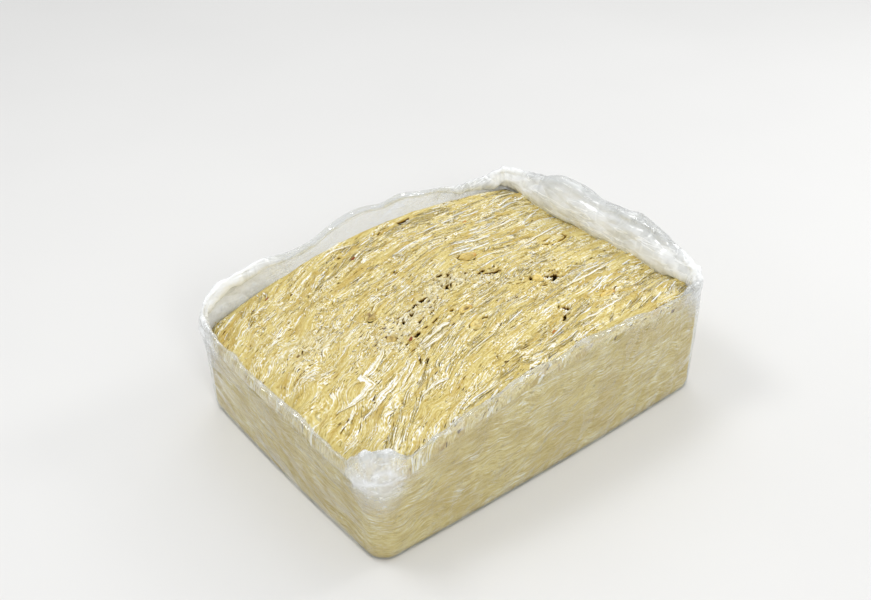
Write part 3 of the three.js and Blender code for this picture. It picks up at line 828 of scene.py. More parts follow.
class Top:
    """The slab's top as a grid: its relief over the dome, and the fibre that each point lies on."""

    def __init__(self):
        self.columns = stations(HALF_LENGTH, FINE_ALONG)
        self.rows = stations(HALF_WIDTH, FINE_ACROSS)
        p, q = np.meshgrid(self.columns, self.rows, indexing="ij")
        self.x, self.y = plan_point(p, q)
        distance = inset(p, q)
        self.fade = np.clip(distance / SHOULDER_RADIUS, 0.1, 1)
        self.dome = crown(self.x, self.y) - shoulder_drop(distance)
        self.relief = large_relief(self.x, self.y)
        self.along = self.x.copy()
        self.across = across_grain(self.x, self.y) + left_curl(self.x, self.y)
        self.kind = np.zeros_like(self.x)
        self.tone = np.zeros_like(self.x)

    def lay_flake(self, cx, cy, half_length, half_width, angle, bend, thickness, tilt, kind, tone):
        """Lays one flake on what is there: a bent oval with frayed ends, thick along its middle, level
        with the mean of what it covers. Where it stands higher than the relief, it is the new relief."""
        i0, i1 = np.searchsorted(self.columns * HALF_LENGTH, [cx - half_length, cx + half_length])
        j0, j1 = np.searchsorted(self.rows * HALF_WIDTH, [cy - half_length, cy + half_length])
        part = slice(i0, i1), slice(j0, j1)
        c, s = math.cos(angle), math.sin(angle)
        u = (self.x[part] - cx) * c + (self.y[part] - cy) * s
        v = (self.y[part] - cy) * c - (self.x[part] - cx) * s - bend * u * u
        fray = 0.6 + 0.4 * soft_noise(v / 1.3, np.full_like(v, kind * 91), 41)
        inside = (u / (half_length * fray)) ** 4 + (v / half_width) ** 2 < 1
        if not inside.any():
            return
        level = self.relief[part][inside].mean()
        height = level + thickness * (1 - 0.6 * (v / half_width) ** 2) + tilt * v / half_width
        higher = inside & (height > self.relief[part])
        self.relief[part] = np.where(higher, height, self.relief[part])
        self.kind[part] = np.where(higher, kind, self.kind[part])
        self.tone[part] = np.where(higher, tone, self.tone[part])

    def lay_flakes(self, spots, length, width, thickness, spread):
        """Flakes at spots, longest first, turned from the grain by a bell-curve spread in radians."""
        count = len(spots)
        values = [
            -np.sort(-rng.uniform(*length, count)) / 2,
            rng.uniform(*width, count) / 2,
            flow_angle(spots[:, 0], spots[:, 1]) + rng.normal(0, spread, count),
            rng.normal(0, FLAKE_BEND, count),
            rng.uniform(*thickness, count),
            rng.normal(0, FLAKE_TILT, count),
            rng.random(count),
            rng.normal(0, 1, count),
        ]
        for spot, *flake in zip(spots, *values):
            self.lay_flake(*spot, *flake)

    def settle(self):
        """Brings the flakes' mean height back to the large relief, limits how deep it is between them, and
        adds fine furrows, crumbs, slits, covered seeds, gaps and beds for the nuts."""
        large = large_relief(self.x, self.y)
        self.relief += blurred(large - self.relief, FLAKE_BLUR)
        over = self.relief - large
        limit = DEEPEST_BETWEEN_FLAKES
        self.relief = large + np.where(over < 0, limit * np.tanh(over / limit), over)
        self.relief += FURROW_HEIGHT * crest_noise(self.along / FURROW_LENGTH, self.across / FURROW_WIDTH, 21)
        fibre = soft_noise(self.along / FIBRE_LENGTH, self.across / FIBRE_WIDTH, 22)
        self.relief += FIBRE_HEIGHT * (fibre - 0.5)
        crumbly = crumble(self.x, self.y)
        self.relief += crumbly * (soft_noise(self.x / CRUMB_SIZE, self.y / CRUMB_SIZE, 23) - 0.5)
        slit = soft_noise(self.along / SLIT_LENGTH, self.across / SLIT_WIDTH, 24) + 0.06 * crumbly
        slit = step_between(slit, 0.86, 0.94)
        self.relief -= (SLIT_DEPTH + SLIT_EXTRA_DEPTH * crumbly) * slit
        self.relief += seed_rises(self.x, self.y) - crevices(self.x, self.y) - gaps(self.x, self.y)
        self.relief -= NUT_BED_DEPTH * on_nut(self.x, self.y)
        self.tone = 0.5 * self.tone + bands(self.x, self.y)
        self.over = self.relief - large
        self.z = self.dome + self.relief * self.fade
        self.bed = blurred(self.z, BED_BLUR)

    def sample(self, field, x, y):
        """A field of the grid at any place, by bilinear blending."""
        i = np.interp(x / HALF_LENGTH, self.columns, np.arange(len(self.columns)))
        j = np.interp(y / HALF_WIDTH, self.rows, np.arange(len(self.rows)))
        i0 = np.minimum(i.astype(int), len(self.columns) - 2)
        j0 = np.minimum(j.astype(int), len(self.rows) - 2)
        s, t = i - i0, j - j0
        near = field[i0, j0] * (1 - s) + field[i0 + 1, j0] * s
        far = field[i0, j0 + 1] * (1 - s) + field[i0 + 1, j0 + 1] * s
        return near * (1 - t) + far * t


def near_left(x, y):
    """1 at the near left of the top, falling off as bell curves."""
    return bell(x + 95, 75) * bell(y + 70, 60)


def bands(x, y):
    """Lighter and darker bands along the grain, about -2 to 2: soft noise of two sizes, paler at the near
    left and darker at the far left."""
    across = across_grain(x, y)
    tone = 0
    for length, width, strength, seed in TONE_BANDS:
        tone = tone + strength * (soft_noise(x / length, across / width, seed) - 0.5)
    far_left = bell(x + 110, 80) * bell(y - 50, 70)
    return tone + near_left(x, y) - 2 * far_left


def crumble(x, y):
    """How crumbly the top is, 0 to 1: most along the crack's left half, some at the far left."""
    left = bell(x + 130, 50) * bell(y - 40, 60)
    along_crack = bell(crack_distance(x, y), 13) * (1 - 0.7 * step_between(x, 10, 50))
    return np.clip(along_crack + 0.9 * left * soft_noise(x / 30, y / 30, 25), 0, 1)


def crevices(x, y):
    """Ragged gaps along the crack: narrow bell curves about lines that wander beside its middle line, where
    the top is crumbly."""
    distance = crack_distance(x, y)
    depth = np.zeros_like(x)
    for offset, seed in CREVICES:
        wander = 7 * (soft_noise(x / 11, y / 11, seed) - 0.5)
        wander = wander + 3 * (soft_noise(x / 4, y / 4, seed + 10) - 0.5)
        opened = step_between(soft_noise(x / 6, y / 6, seed + 20), 0.5, 0.7)
        depth += CREVICE_DEPTH * opened * bell(distance - offset + wander, CREVICE_WIDTH)
    return depth * np.sqrt(crumble(x, y))


def gaps(x, y):
    """Depth of the narrow gaps, steep and ragged along their edges and crossed by flakes, and of the broken
    gaps round the nuts and the covered seeds."""
    ragged_x = x + 1.1 * (soft_noise(x / 2, y / 2, 34) - 0.5) + 2 * (soft_noise(x / 7, y / 7, 38) - 0.5)
    ragged_y = y + 1.1 * (soft_noise(x / 2, y / 2, 35) - 0.5) + 2 * (soft_noise(x / 7, y / 7, 39) - 0.5)
    crossed = 0.3 + 0.7 * step_between(soft_noise(x / 2.6, y / 1.8, 37), 0.15, 0.3)
    depth = np.zeros_like(x)
    for cx, cy, length, width, turn in GAPS:
        gap = step_between(hollow(ragged_x, ragged_y, cx, cy, length, width, 1, turn), 0.25, 0.6)
        depth = np.maximum(depth, GAP_DEPTH * gap * crossed)
    for number, (_, cx, cy, size, turn, *_) in enumerate(NUTS):
        depth = np.maximum(depth, NUT_RIM_DEPTH * broken_ring(x, y, cx, cy, size, turn, number))
    for number, (cx, cy, size, turn) in enumerate(COVERED_SEEDS):
        depth = np.maximum(depth, SEED_OUTLINE_DEPTH * broken_ring(x, y, cx, cy, size, turn, number + 20))
    return depth


def oval_distance(x, y, cx, cy, size, turn):
    """Distance from an oval's centre as a share of the way to its edge, and the angle round it."""
    u, v = turned_offset(x, y, cx, cy, turn)
    return np.hypot(u / size[0], v / size[1]), np.arctan2(v, u)


def broken_ring(x, y, cx, cy, size, turn, number):
    """A narrow bell curve about an oval's edge, broken by a noise of the angle round it."""
    ring, angle = oval_distance(x, y, cx, cy, size, turn)
    broken = step_between(soft_noise(1.3 * angle + 5, np.full_like(angle, number), 36), 0.35, 0.6)
    return broken * bell((ring - 1.02) * min(size[:2]), 0.7)


def seed_rises(x, y):
    """Height of the seeds that halva covers: flat domes."""
    height = np.zeros_like(x)
    for cx, cy, size, turn in COVERED_SEEDS:
        height += SEED_RISE * np.clip(1 - oval_distance(x, y, cx, cy, size, turn)[0] ** 2, 0, 1)
    return height


def on_nut(x, y):
    """Whether a place lies on a nut."""
    covered = np.zeros(np.shape(x), dtype=bool)
    for _, cx, cy, size, turn, *_ in NUTS:
        covered |= oval_distance(x, y, cx, cy, size, turn)[0] < 0.9
    return covered


def is_open(x, y):
    """Whether a place lies in no gap and on no nut."""
    return (gaps(x, y) < GAP_LIMIT) & ~on_nut(x, y)


def spread_spots(count, chance):
    """Places over the top, kept by a chance from 0 to 1 at each place."""
    tries = rng.uniform(-1, 1, (count * 8, 2)) * (HALF_LENGTH - 5, HALF_WIDTH - 5)
    kept = tries[rng.random(len(tries)) < chance(tries[:, 0], tries[:, 1])]
    return kept[:count]


def everywhere(x, y):
    """The same chance at every place."""
    return np.ones_like(x)


def make_top():
    """The relief of the top: long flakes first, then shorter ones, then crumbs of flakes."""
    top = Top()
    for layers, chance in ((FLAKES, everywhere), (CRUMBS, crumble)):
        for count, *shape in layers:
            top.lay_flakes(spread_spots(count, chance), *shape)
    top.settle()
    return top


def side_relief(turn, z):
    """Outward relief of the pressed sides at a share of one turn: level ridges, furrows and pits."""
    relief = 0
    for span, rise, height, seed in SIDE_RIDGES:
        turns = round(PERIMETER / span)
        relief = relief + height * crest_noise(turn * turns, z / rise, seed, turns)
    turns = round(PERIMETER / SIDE_PIT_LENGTH)
    warp = soft_noise(turn * 2 * turns, z / 5, 55, 2 * turns) - 0.5
    pit = step_between(soft_noise(turn * turns + 0.9 * warp, z / 2.3 + 1.6 * warp, 53, turns), 0.74, 0.95)
    return relief - SIDE_PIT_DEPTH * pit


def make_slab(top, finish):
    """The slab: the top's grid, rows of points down its outline, and a flat base."""
    index = np.arange(top.x.size).reshape(top.x.shape)
    outline = np.concatenate([index[:-1, 0], index[-1, :-1], index[:0:-1, -1], index[0, :0:-1]])
    grid = np.stack([top.x, top.y, top.z], -1).reshape(-1, 3)
    edge = grid[outline]
    ahead = np.roll(edge, -1, 0) - np.roll(edge, 1, 0)
    out = np.stack([ahead[:, 1], -ahead[:, 0]], -1)
    out /= np.linalg.norm(out, axis=1, keepdims=True)
    steps = np.hypot(*(np.roll(edge, -1, 0) - edge)[:, :2].T)
    turn = (np.cumsum(steps) - steps) / steps.sum()
    share = np.concatenate([[SIDE_START], np.linspace(1, 0, SIDE_ROWS + 1)[1:]])[:, None]
    z = SLAB_BASE + share * (edge[:, 2] - SLAB_BASE)
    inward = BASE_ROUNDING * np.clip(1 - (z - SLAB_BASE) / (1.5 * BASE_ROUNDING), 0, 1) ** 2
    relief = side_relief(turn[None, :], z)
    push = relief * np.clip((1 - share) * 8, 0, 1) * np.clip((z - SLAB_BASE) / 4, 0, 1) - inward
    sides = np.stack([edge[:, 0] + push * out[:, 0], edge[:, 1] + push * out[:, 1], z], -1)
    points = np.concatenate([grid, sides.reshape(-1, 3), [[0, 0, SLAB_BASE]]])
    rows = top.x.size + np.arange(z.size).reshape(z.shape)
    rings = np.concatenate([outline[None, :], rows])[::-1]
    faces = [grid_faces(index), ring_faces(rings), fan_faces(rings[0][::-1], len(points) - 1)]
    grain = np.stack([top.along, top.across, FLAKE_CHANGE * top.kind], -1).reshape(-1, 3)
    wave = 9 * soft_noise(turn[None, :] * 26, z / 26, 56, 26)
    wave = wave + 5 * soft_noise(turn[None, :] * 70, z / 10, 57, 70)
    side_along = 1.7 * (sides[..., 0] - sides[..., 1])
    side_grain = np.stack([side_along, z + wave, (sides[..., 0] + sides[..., 1]) / 900], -1)
    side_tone = 3 * soft_noise(turn[None, :] * 17, z / 6, 54, 17) - 1.5
    attributes = {
        "grain": np.concatenate([grain, side_grain.reshape(-1, 3), np.zeros((1, 3))]),
        "relief": np.concatenate([top.over.ravel(), relief.ravel(), [0]]),
        "tone": np.concatenate([top.tone.ravel(), side_tone.ravel(), [0]]),
        "pressed": np.concatenate([0 * top.tone.ravel(), 1 + 0 * side_tone.ravel(), [1]]),
        "crumbly": np.concatenate([crumble(top.x, top.y).ravel(), 0 * side_tone.ravel(), [0]]),
    }
    return make_piece("halva", points, faces, finish, "halva", ["halva_slab"], **attributes)


# Strands, ribbons and chips on the top

def grain_paths(spots, lengths, wander, knots):
    """Paths that follow the grain from their starts: at each step the heading is the grain's plus an
    angle that wanders."""
    place = spots.copy()
    bend = rng.normal(0, wander, len(spots))
    path = []
    for _ in range(knots):
        path.append(place)
        heading = flow_angle(place[:, 0], place[:, 1]) + bend
        place = place + (lengths / (knots - 1))[:, None] * np.stack([np.cos(heading), np.sin(heading)], -1)
        bend = bend * 0.8 + rng.normal(0, wander * 0.6, len(spots))
    limit = np.array([HALF_LENGTH - 3, HALF_WIDTH - 3])
    return np.clip(np.stack(path, 1), -limit, limit)


def clear_of_gaps(path):
    """Which paths cross no gap and no nut."""
    step = np.diff(path, axis=1)
    between = np.concatenate([path[:, :-1] + share * step for share in (0, 0.25, 0.5, 0.75, 1)], 1)
    return is_open(between[..., 0], between[..., 1]).all(axis=1)


def lay_strips(top, path, widths, thickness, lift, tilt, section):
    """Strips about paths on the top: a cross section at each knot, drawn in at both ends. They lie on the
    smoothed top, with their ends let into it, tilted by a bell-curve spread."""
    t = np.linspace(0, 1, path.shape[1])
    body = np.clip(1 - np.abs(2 * t - 1) ** 3, 0.1, 1)
    ahead = np.gradient(path, axis=1)
    ahead /= np.linalg.norm(ahead, axis=-1, keepdims=True) + 1e-9
    side = np.stack([-ahead[..., 1], ahead[..., 0]], -1) * (widths * body / 2)[..., None]
    across, height = section.T
    place = path[:, :, None] + across[:, None] * side[:, :, None]
    roll = rng.normal(0, tilt, (len(path), 1, 1)) * widths[..., None] / 2
    z = top.sample(top.bed, place[..., 0], place[..., 1]) - 0.35
    z = z + (lift[:, None] * (0.35 + 0.65 * np.sin(math.pi * t) ** 0.5))[..., None]
    z = z + (thickness[:, None] * body)[..., None] * height + roll * across
    return np.concatenate([place, z[..., None]], -1)


def make_strips(name, corners, section, widths, tones, finish, low=-0.4):
    """A piece of many strips: a closed tube for each, with its own grain and tone, and low as the relief of
    its edges, which the finish paints in shade while it paints light along their tops."""
    count, knots, sides = corners.shape[:3]
    index = np.arange(count * knots * sides).reshape(count, knots, sides)
    after = np.roll(index, -1, axis=2)
    tube = np.stack([index[:, :-1], after[:, :-1], after[:, 1:], index[:, 1:]], -1).reshape(-1, 4)
    ends = np.concatenate([index[:, 0, ::-1], index[:, -1]])
    middle = corners.mean(2)
    lengths = np.linalg.norm(np.diff(middle, axis=1, prepend=middle[:, :1]), axis=-1).cumsum(1)
    number = rng.random(count)[:, None, None] + np.zeros(index.shape)
    around = section[:, 0] * widths.mean(1)[:, None, None] / 2
    grain = np.stack([lengths[..., None] + 900 * number, around + 40 * number, number], -1)
    values = {
        "grain": grain.reshape(-1, 3),
        # The relief rises from the edges to the top of the section, so the finish paints shade along the
        # edges and light along the top
        "relief": (np.maximum(0.8 * section[:, 1] + low, -0.6) + 0 * number).ravel(),
        "tone": (tones[:, None, None] + 0 * number).ravel(),
    }
    return make_piece(name, corners.reshape(-1, 3), [tube, ends], finish, "halva", **values)


def make_strands(top, name, chance, count, reach, width, wander, tone, finish, low=-0.4):
    """Fine fibres at places kept by a chance: long at the right, shorter at the left and in the crumbly
    places. reach is their usual length, wander how much they leave the grain, and tone how light they are."""
    spots = spread_spots(count, chance)
    right = step_between(spots[:, 0], -60, 110)
    lengths = reach * (0.6 + right) * (1 - 0.6 * crumble(*spots.T)) * rng.uniform(0.4, 1.4, len(spots))
    widths = rng.uniform(*width, (len(spots), 1))
    path = grain_paths(spots, lengths, wander, 6)
    kept = clear_of_gaps(path)
    path, widths = path[kept], widths[kept]
    lift = rng.uniform(0.3, 0.55, len(path))
    corners = lay_strips(top, path, widths, widths[:, 0] * 0.2, lift, 0.25, THREAD)
    tones = rng.normal(tone, 0.6, len(path)) + bands(*path[:, 3].T)
    return make_strips(name, corners, THREAD, widths, tones, finish, low)


def at_firm_places(x, y):
    """A chance that is lower where the top is crumbly and at the left."""
    return (0.45 + 0.55 * step_between(x, -110, 10)) * (1 - 0.6 * crumble(x, y))


def at_right(x, y):
    """A chance that grows to the right."""
    return (0.15 + 0.85 * step_between(x, -80, 60)) * (1 - 0.8 * crumble(x, y))


def at_crumbly_places(x, y):
    """A chance that is high where the top is crumbly, with none in gaps and on nuts."""
    return (0.04 + 0.96 * crumble(x, y)) * is_open(x, y)


def make_ribbons(top, finish):
    """Pale ribbons of pulled sugar, broad at the near left and slim elsewhere."""
    spots = spread_spots(RIBBONS, lambda x, y: near_left(x, y) + 0.2)
    lengths = rng.uniform(14, 60, len(spots))
    widths = (rng.uniform(0.9, 2.2, len(spots)) * (1 + 0.9 * near_left(*spots.T)))[:, None]
    path = grain_paths(spots, lengths, 0.05, 7)
    kept = clear_of_gaps(path)
    path, widths = path[kept], widths[kept]
    lift = rng.uniform(0.35, 0.6, len(path))
    corners = lay_strips(top, path, widths, widths[:, 0] * 0.1, lift, 0.12, SLAT)
    return make_strips("ribbons", corners, SLAT, widths, rng.normal(0.4, 0.7, len(path)), finish)


def make_bold_ribbons(top, finish):
    """The ribbons that stand out: bands along their paths, cut into even steps, with uneven edges."""
    paths, widths = [], []
    for number, (width, places) in enumerate(RIBBON_PATHS):
        places = np.array(places, dtype=float)
        way = np.concatenate([[0], np.hypot(*np.diff(places, axis=0).T).cumsum()])
        even = np.linspace(0, way[-1], RIBBON_KNOTS)
        row = np.full(RIBBON_KNOTS, number)
        path = np.stack([np.interp(even, way, places[:, 0]), np.interp(even, way, places[:, 1])], -1)
        waver = np.stack([soft_noise(even / 4, row, seed) for seed in (71, 72)], -1)
        paths.append(path + 1.2 * (waver - 0.5))
        widths.append(width * (0.7 + 0.6 * soft_noise(even / 5, row, 73)))
    paths, widths = np.stack(paths), np.stack(widths)
    thickness = np.full(len(paths), RIBBON_THICKNESS)
    lift = rng.uniform(1.0, 1.3, len(paths))
    corners = lay_strips(top, paths, widths, thickness, lift, 0.02, BAND)
    return make_strips("bold_ribbons", corners, BAND, widths, rng.normal(0.6, 0.4, len(paths)), finish)


def make_chips(top, finish):
    """Loose chips of halva: twelve-cornered lumps, each drawn out, turned about the grain and set into the
    top."""
    golden = (1 + 5 ** 0.5) / 2
    corner = [(0, s, t * golden) for s in (-1, 1) for t in (-1, 1)]
    lump = np.array([np.roll(c, k) for k in range(3) for c in corner]) / np.hypot(1, golden)
    near = np.linalg.norm(lump[:, None] - lump[None], axis=-1) < 1.2
    corners = [(a, b, c) for a in range(12) for b in range(a) for c in range(b)]
    sides = [(a, b, c) for a, b, c in corners if near[a, b] and near[b, c] and near[a, c]]
    sides = np.array([s if np.linalg.det(lump[list(s)]) > 0 else s[::-1] for s in sides])
    spots = spread_spots(CHIPS, at_crumbly_places)
    count = len(spots)
    size = rng.uniform(0.5, 1.0, (count, 1, 1))
    size = size * rng.uniform((1.2, 0.5, 0.3), (4.2, 1.1, 0.7), (count, 1, 3))
    angle = flow_angle(*spots.T) + rng.normal(0, 0.7, count)
    dip = rng.normal(0, 0.25, count)
    ahead = np.stack([np.cos(angle) * np.cos(dip), np.sin(angle) * np.cos(dip), np.sin(dip)], -1)
    side = np.stack([-np.sin(angle), np.cos(angle), 0 * angle], -1)
    turn = np.stack([ahead, side, np.cross(ahead, side)], 1)
    shaped = (lump[None] * rng.uniform(0.75, 1.2, (count, 12, 1)) * size) @ turn
    z = top.sample(top.z, *spots.T) + 0.2
    points = shaped + np.concatenate([spots, z[:, None]], -1)[:, None]
    faces = (sides[None] + 12 * np.arange(count)[:, None, None]).reshape(-1, 3)
    number = np.repeat(rng.random(count), 12)
    values = {
        "grain": np.stack([points[..., 0].ravel(), points[..., 1].ravel(), number], -1),
        # A relief of 0.3 gives every chip the finish's full painted crest light
        "relief": np.full(count * 12, 0.3),
        "tone": np.repeat(rng.normal(0, 1, count), 12),
    }
    return make_piece("chips", points.reshape(-1, 3), [faces], finish, "halva", **values)


# Nuts and bits of skin

def nut_surface(size, dimple):
    """An oval with a flatter underside, a groove along its top and, with dimple, a hollow in its middle.
    Rings run from the lower pole to the upper one."""
    rise = np.linspace(-math.pi / 2, math.pi / 2, NUT_RINGS + 2)[1:-1, None]
    angle = np.linspace(0, 2 * math.pi, NUT_SIDES + 1)[None, :-1]
    x = np.cos(rise) * np.cos(angle)
    y = np.cos(rise) * np.sin(angle) * (1 - 0.2 * x)
    z = np.sin(rise) * np.ones_like(angle)
    up = np.clip(z, 0, 1)
    z = np.where(z < 0, NUT_FLATTENING * z, z)
    z = z - 0.16 * up * bell(y, 0.22) - dimple * up * bell(x, 0.6) * bell(y, 0.5)
    lump = 1 + 0.06 * np.sin(3 * angle + 4 * z) + 0.05 * np.sin(5 * angle - 6 * rise)
    return np.stack([x * lump, y * lump, z], -1) * size


def make_nuts(finish):
    """All nuts as one piece: each surface turned and set in its hollow."""
    points, faces, values, start = [], [], {"tone": [], "dark": [], "tip": [], "coat": []}, 0
    for _, cx, cy, size, turn, tone, dimple, coat, tip in NUTS:
        shape = nut_surface(np.array(size), dimple)
        c, s = math.cos(math.radians(turn)), math.sin(math.radians(turn))
        x = shape[..., 0] * c - shape[..., 1] * s + cx
        y = shape[..., 0] * s + shape[..., 1] * c + cy
        ground = crown(np.float64(cx), np.float64(cy)) + large_relief(np.array([cx]), np.array([cy]))[0]
        rings = start + np.arange(x.size).reshape(x.shape)
        surface = np.stack([x, y, shape[..., 2] + ground + NUT_SINK], -1)
        points += [surface.reshape(-1, 3), surface[[0, -1]].mean(1)]
        lower, upper = start + x.size, start + x.size + 1
        faces += [ring_faces(rings), fan_faces(rings[0][::-1], lower), fan_faces(rings[-1], upper)]
        start = upper + 1
        u, v, w = np.moveaxis(shape / size, -1, 0)
        # Lower part of the nut: painted shade, and more of it coated with halva
        low = 0.5 * step_between(-w, -0.4, 0.1)
        # Painted shade in the hollow, along the groove and underneath, plus the darker nuts' own colour
        dark = dimple * bell(u, 0.55) * bell(v, 0.6) + 0.3 * bell(v, 0.1) + low + max(0, -tone)
        # Painted light: one side paler as if lit, the other darker as if shaded
        lit_flank = 0.5 * step_between(v, 0.1, 0.6) - 0.3 * step_between(-v, 0.1, 0.6)
        values["tone"].append(np.append((tone + lit_flank).ravel(), [tone, tone]))
        values["dark"].append(np.append(dark.ravel(), [1, 0]))
        values["tip"].append(np.append(tip * step_between(u, 0.35, 0.85).ravel(), [0, 0]))
        values["coat"].append(np.append((coat + low).ravel(), [1, coat]))
    joined = {key: np.concatenate(parts) for key, parts in values.items()}
    nodes = [nut[0] for nut in NUTS]
    return make_piece("nuts", np.concatenate(points), faces, finish, "nut_amber", nodes, **joined)


def make_skins(top, finish):
    """Bits of seed skin: curled oval shells, one face for each side and closed round the rim."""
    points, faces, values, start = [], [], {"grain": [], "tone": []}, 0
    radius = np.linspace(0.15, 1, SKIN_RINGS)[:, None]
    angle = np.linspace(0, 2 * math.pi, SKIN_SIDES + 1)[None, :-1]
    for number, (cx, cy, length, width, turn, tone) in enumerate(SKINS):
        c, s = math.cos(math.radians(turn)), math.sin(math.radians(turn))
        along = radius * np.cos(angle) * length / 2
        across = radius * np.sin(angle) * width / 2 * (1 + 0.25 * np.sin(3 * angle + number))
        x = cx + along * c - across * s
        y = cy + along * s + across * c
        curl = 0.9 * (1 - (across / width * 2) ** 2) + 0.25 * np.sin(8 * along / length)
        bed = 0.4 * top.sample(top.bed, x, y) + 0.6 * top.sample(top.bed, np.array(cx), np.array(cy))
        upper = np.stack([x, y, bed + curl + 0.2], -1)
        lower = upper - (0, 0, SKIN_THICKNESS)
        rings = start + np.arange(2 * x.size).reshape(2 * x.shape[0], x.shape[1])
        points += [np.concatenate([lower, upper[::-1]]).reshape(-1, 3), [lower[0].mean(0), upper[0].mean(0)]]
        centre = start + 2 * x.size
        faces += [ring_faces(rings), fan_faces(rings[0][::-1], centre), fan_faces(rings[-1], centre + 1)]
        start = centre + 2
        flat = np.stack([along, across, np.full_like(along, number)], -1)
        values["grain"] += [np.concatenate([flat, flat[::-1]]).reshape(-1, 3), np.zeros((2, 3))]
        values["tone"].append(np.full(2 * x.size + 2, tone))
    joined = {key: np.concatenate(parts) for key, parts in values.items()}
    return make_piece("seed_skins", np.concatenate(points), faces, finish, "nut_amber", **joined)


# Film

def outline_point(share):
    """A point of the slab's outline at a share of the way round, anticlockwise from the near corner."""
    sides = np.array([LENGTH, WIDTH, LENGTH, WIDTH])
    starts = np.concatenate([[0], np.cumsum(sides)[:-1]])
    way = np.mod(share, 1) * PERIMETER
    side = np.searchsorted(starts, way, side="right") - 1
    t = 2 * (way - starts[side]) / sides[side] - 1
    one = np.ones_like(t)
    p = np.choose(side, [t, one, -t, -one])
    q = np.choose(side, [-one, t, one, -t])
    return np.stack(plan_point(p, q), -1)


def outline_normal(share):
    """The way out of the slab: the outline's direction turned a quarter clockwise."""
    ahead = outline_point(share + 1e-3) - outline_point(share - 1e-3)
    out = np.stack([ahead[:, 1], -ahead[:, 0]], -1)
    return out / np.linalg.norm(out, axis=1, keepdims=True)


def collar_value(share, column):
    """A collar value at a share of the way round, blended by S-curves between the listed places."""
    after = np.searchsorted(COLLAR[:, 0], share, side="right")
    low, high = COLLAR[after - 1], COLLAR[after]
    t = smooth((share - low[:, 0]) / (high[:, 0] - low[:, 0]))
    return (low[:, column] * (1 - t) + high[:, column] * t)[:, None]


def rim_noise(share, wavelength, seed):
    """Noise from -1 to 1 along the rim that meets itself after one turn."""
    turns = round(PERIMETER / wavelength)
    return 2 * soft_noise(share * turns, np.zeros_like(share), seed, turns)[:, None] - 1


def film_section(share):
    """Section of the film at each share of the way round, as distance out from the slab and height: a
    rounded base edge, the wall, the collar, a half-round fold over its rim, and the lip."""
    edge = crown(*outline_point(share).T)[:, None]
    ragged = RIM_RAGGEDNESS * (1 - 0.6 * collar_value(share, COLLAR_PLEAT))
    height = collar_value(share, COLLAR_HEIGHT) * (1 + ragged * rim_noise(share, RIM_LENGTH, 7))
    lean = collar_value(share, COLLAR_LEAN)
    lip = np.minimum(collar_value(share, COLLAR_LIP), height + 1.5)
    ruffle = RUFFLE * rim_noise(share, RUFFLE_LENGTH, 8)
    slack = [FILM_LOOSENESS + FILM_SLACK * (1 + rim_noise(share, RUFFLE_LENGTH, 10 + k)) for k in range(3)]
    roll = np.clip(lip / 6, 0.7, 5)
    top = slack[2] + lean + 0.6 * ruffle
    turn = np.linspace(0, math.pi / 2, FILM_BASE_STEPS + 1)[None, :-1]
    low = FILM_BASE_ROUNDING
    rows = [(FILM_BASE_SLACK - low + low * np.sin(turn) + 0 * edge, 0.1 + low * (1 - np.cos(turn)))]
    t = np.linspace(0, 1, FILM_WALL_STEPS + 1)[None, :-1]
    shoulder = edge - FILM_SHOULDER
    wall = FILM_BASE_SLACK * (1 - t) ** 2 + 2 * slack[0] * t * (1 - t) + slack[1] * t ** 2
    rows.append((wall, 0.1 + low + (shoulder - 0.1 - low) * t))
    rim = edge + height - roll
    rows.append((slack[1] + (top - slack[1]) * smooth(t), shoulder + (rim - shoulder) * t))
    turn = np.linspace(0, math.pi, FILM_FOLD_STEPS + 1)[None, :-1]
    rows.append((top - roll + roll * np.cos(turn), rim + roll * np.sin(turn)))
    t = np.linspace(0, 1, FILM_LIP_STEPS)[None, :]
    puff = 0.18 * lip * np.sin(math.pi * t) ** 0.8
    rows.append((top - 2 * roll - 0.1 * lip * t - puff, rim - (lip - roll) * t))
    out = np.concatenate([np.broadcast_to(r, (len(share), r.shape[1])) for r, _ in rows], 1)
    up = np.concatenate([np.broadcast_to(z, (len(share), z.shape[1])) for _, z in rows], 1)
    return out, up, edge, height


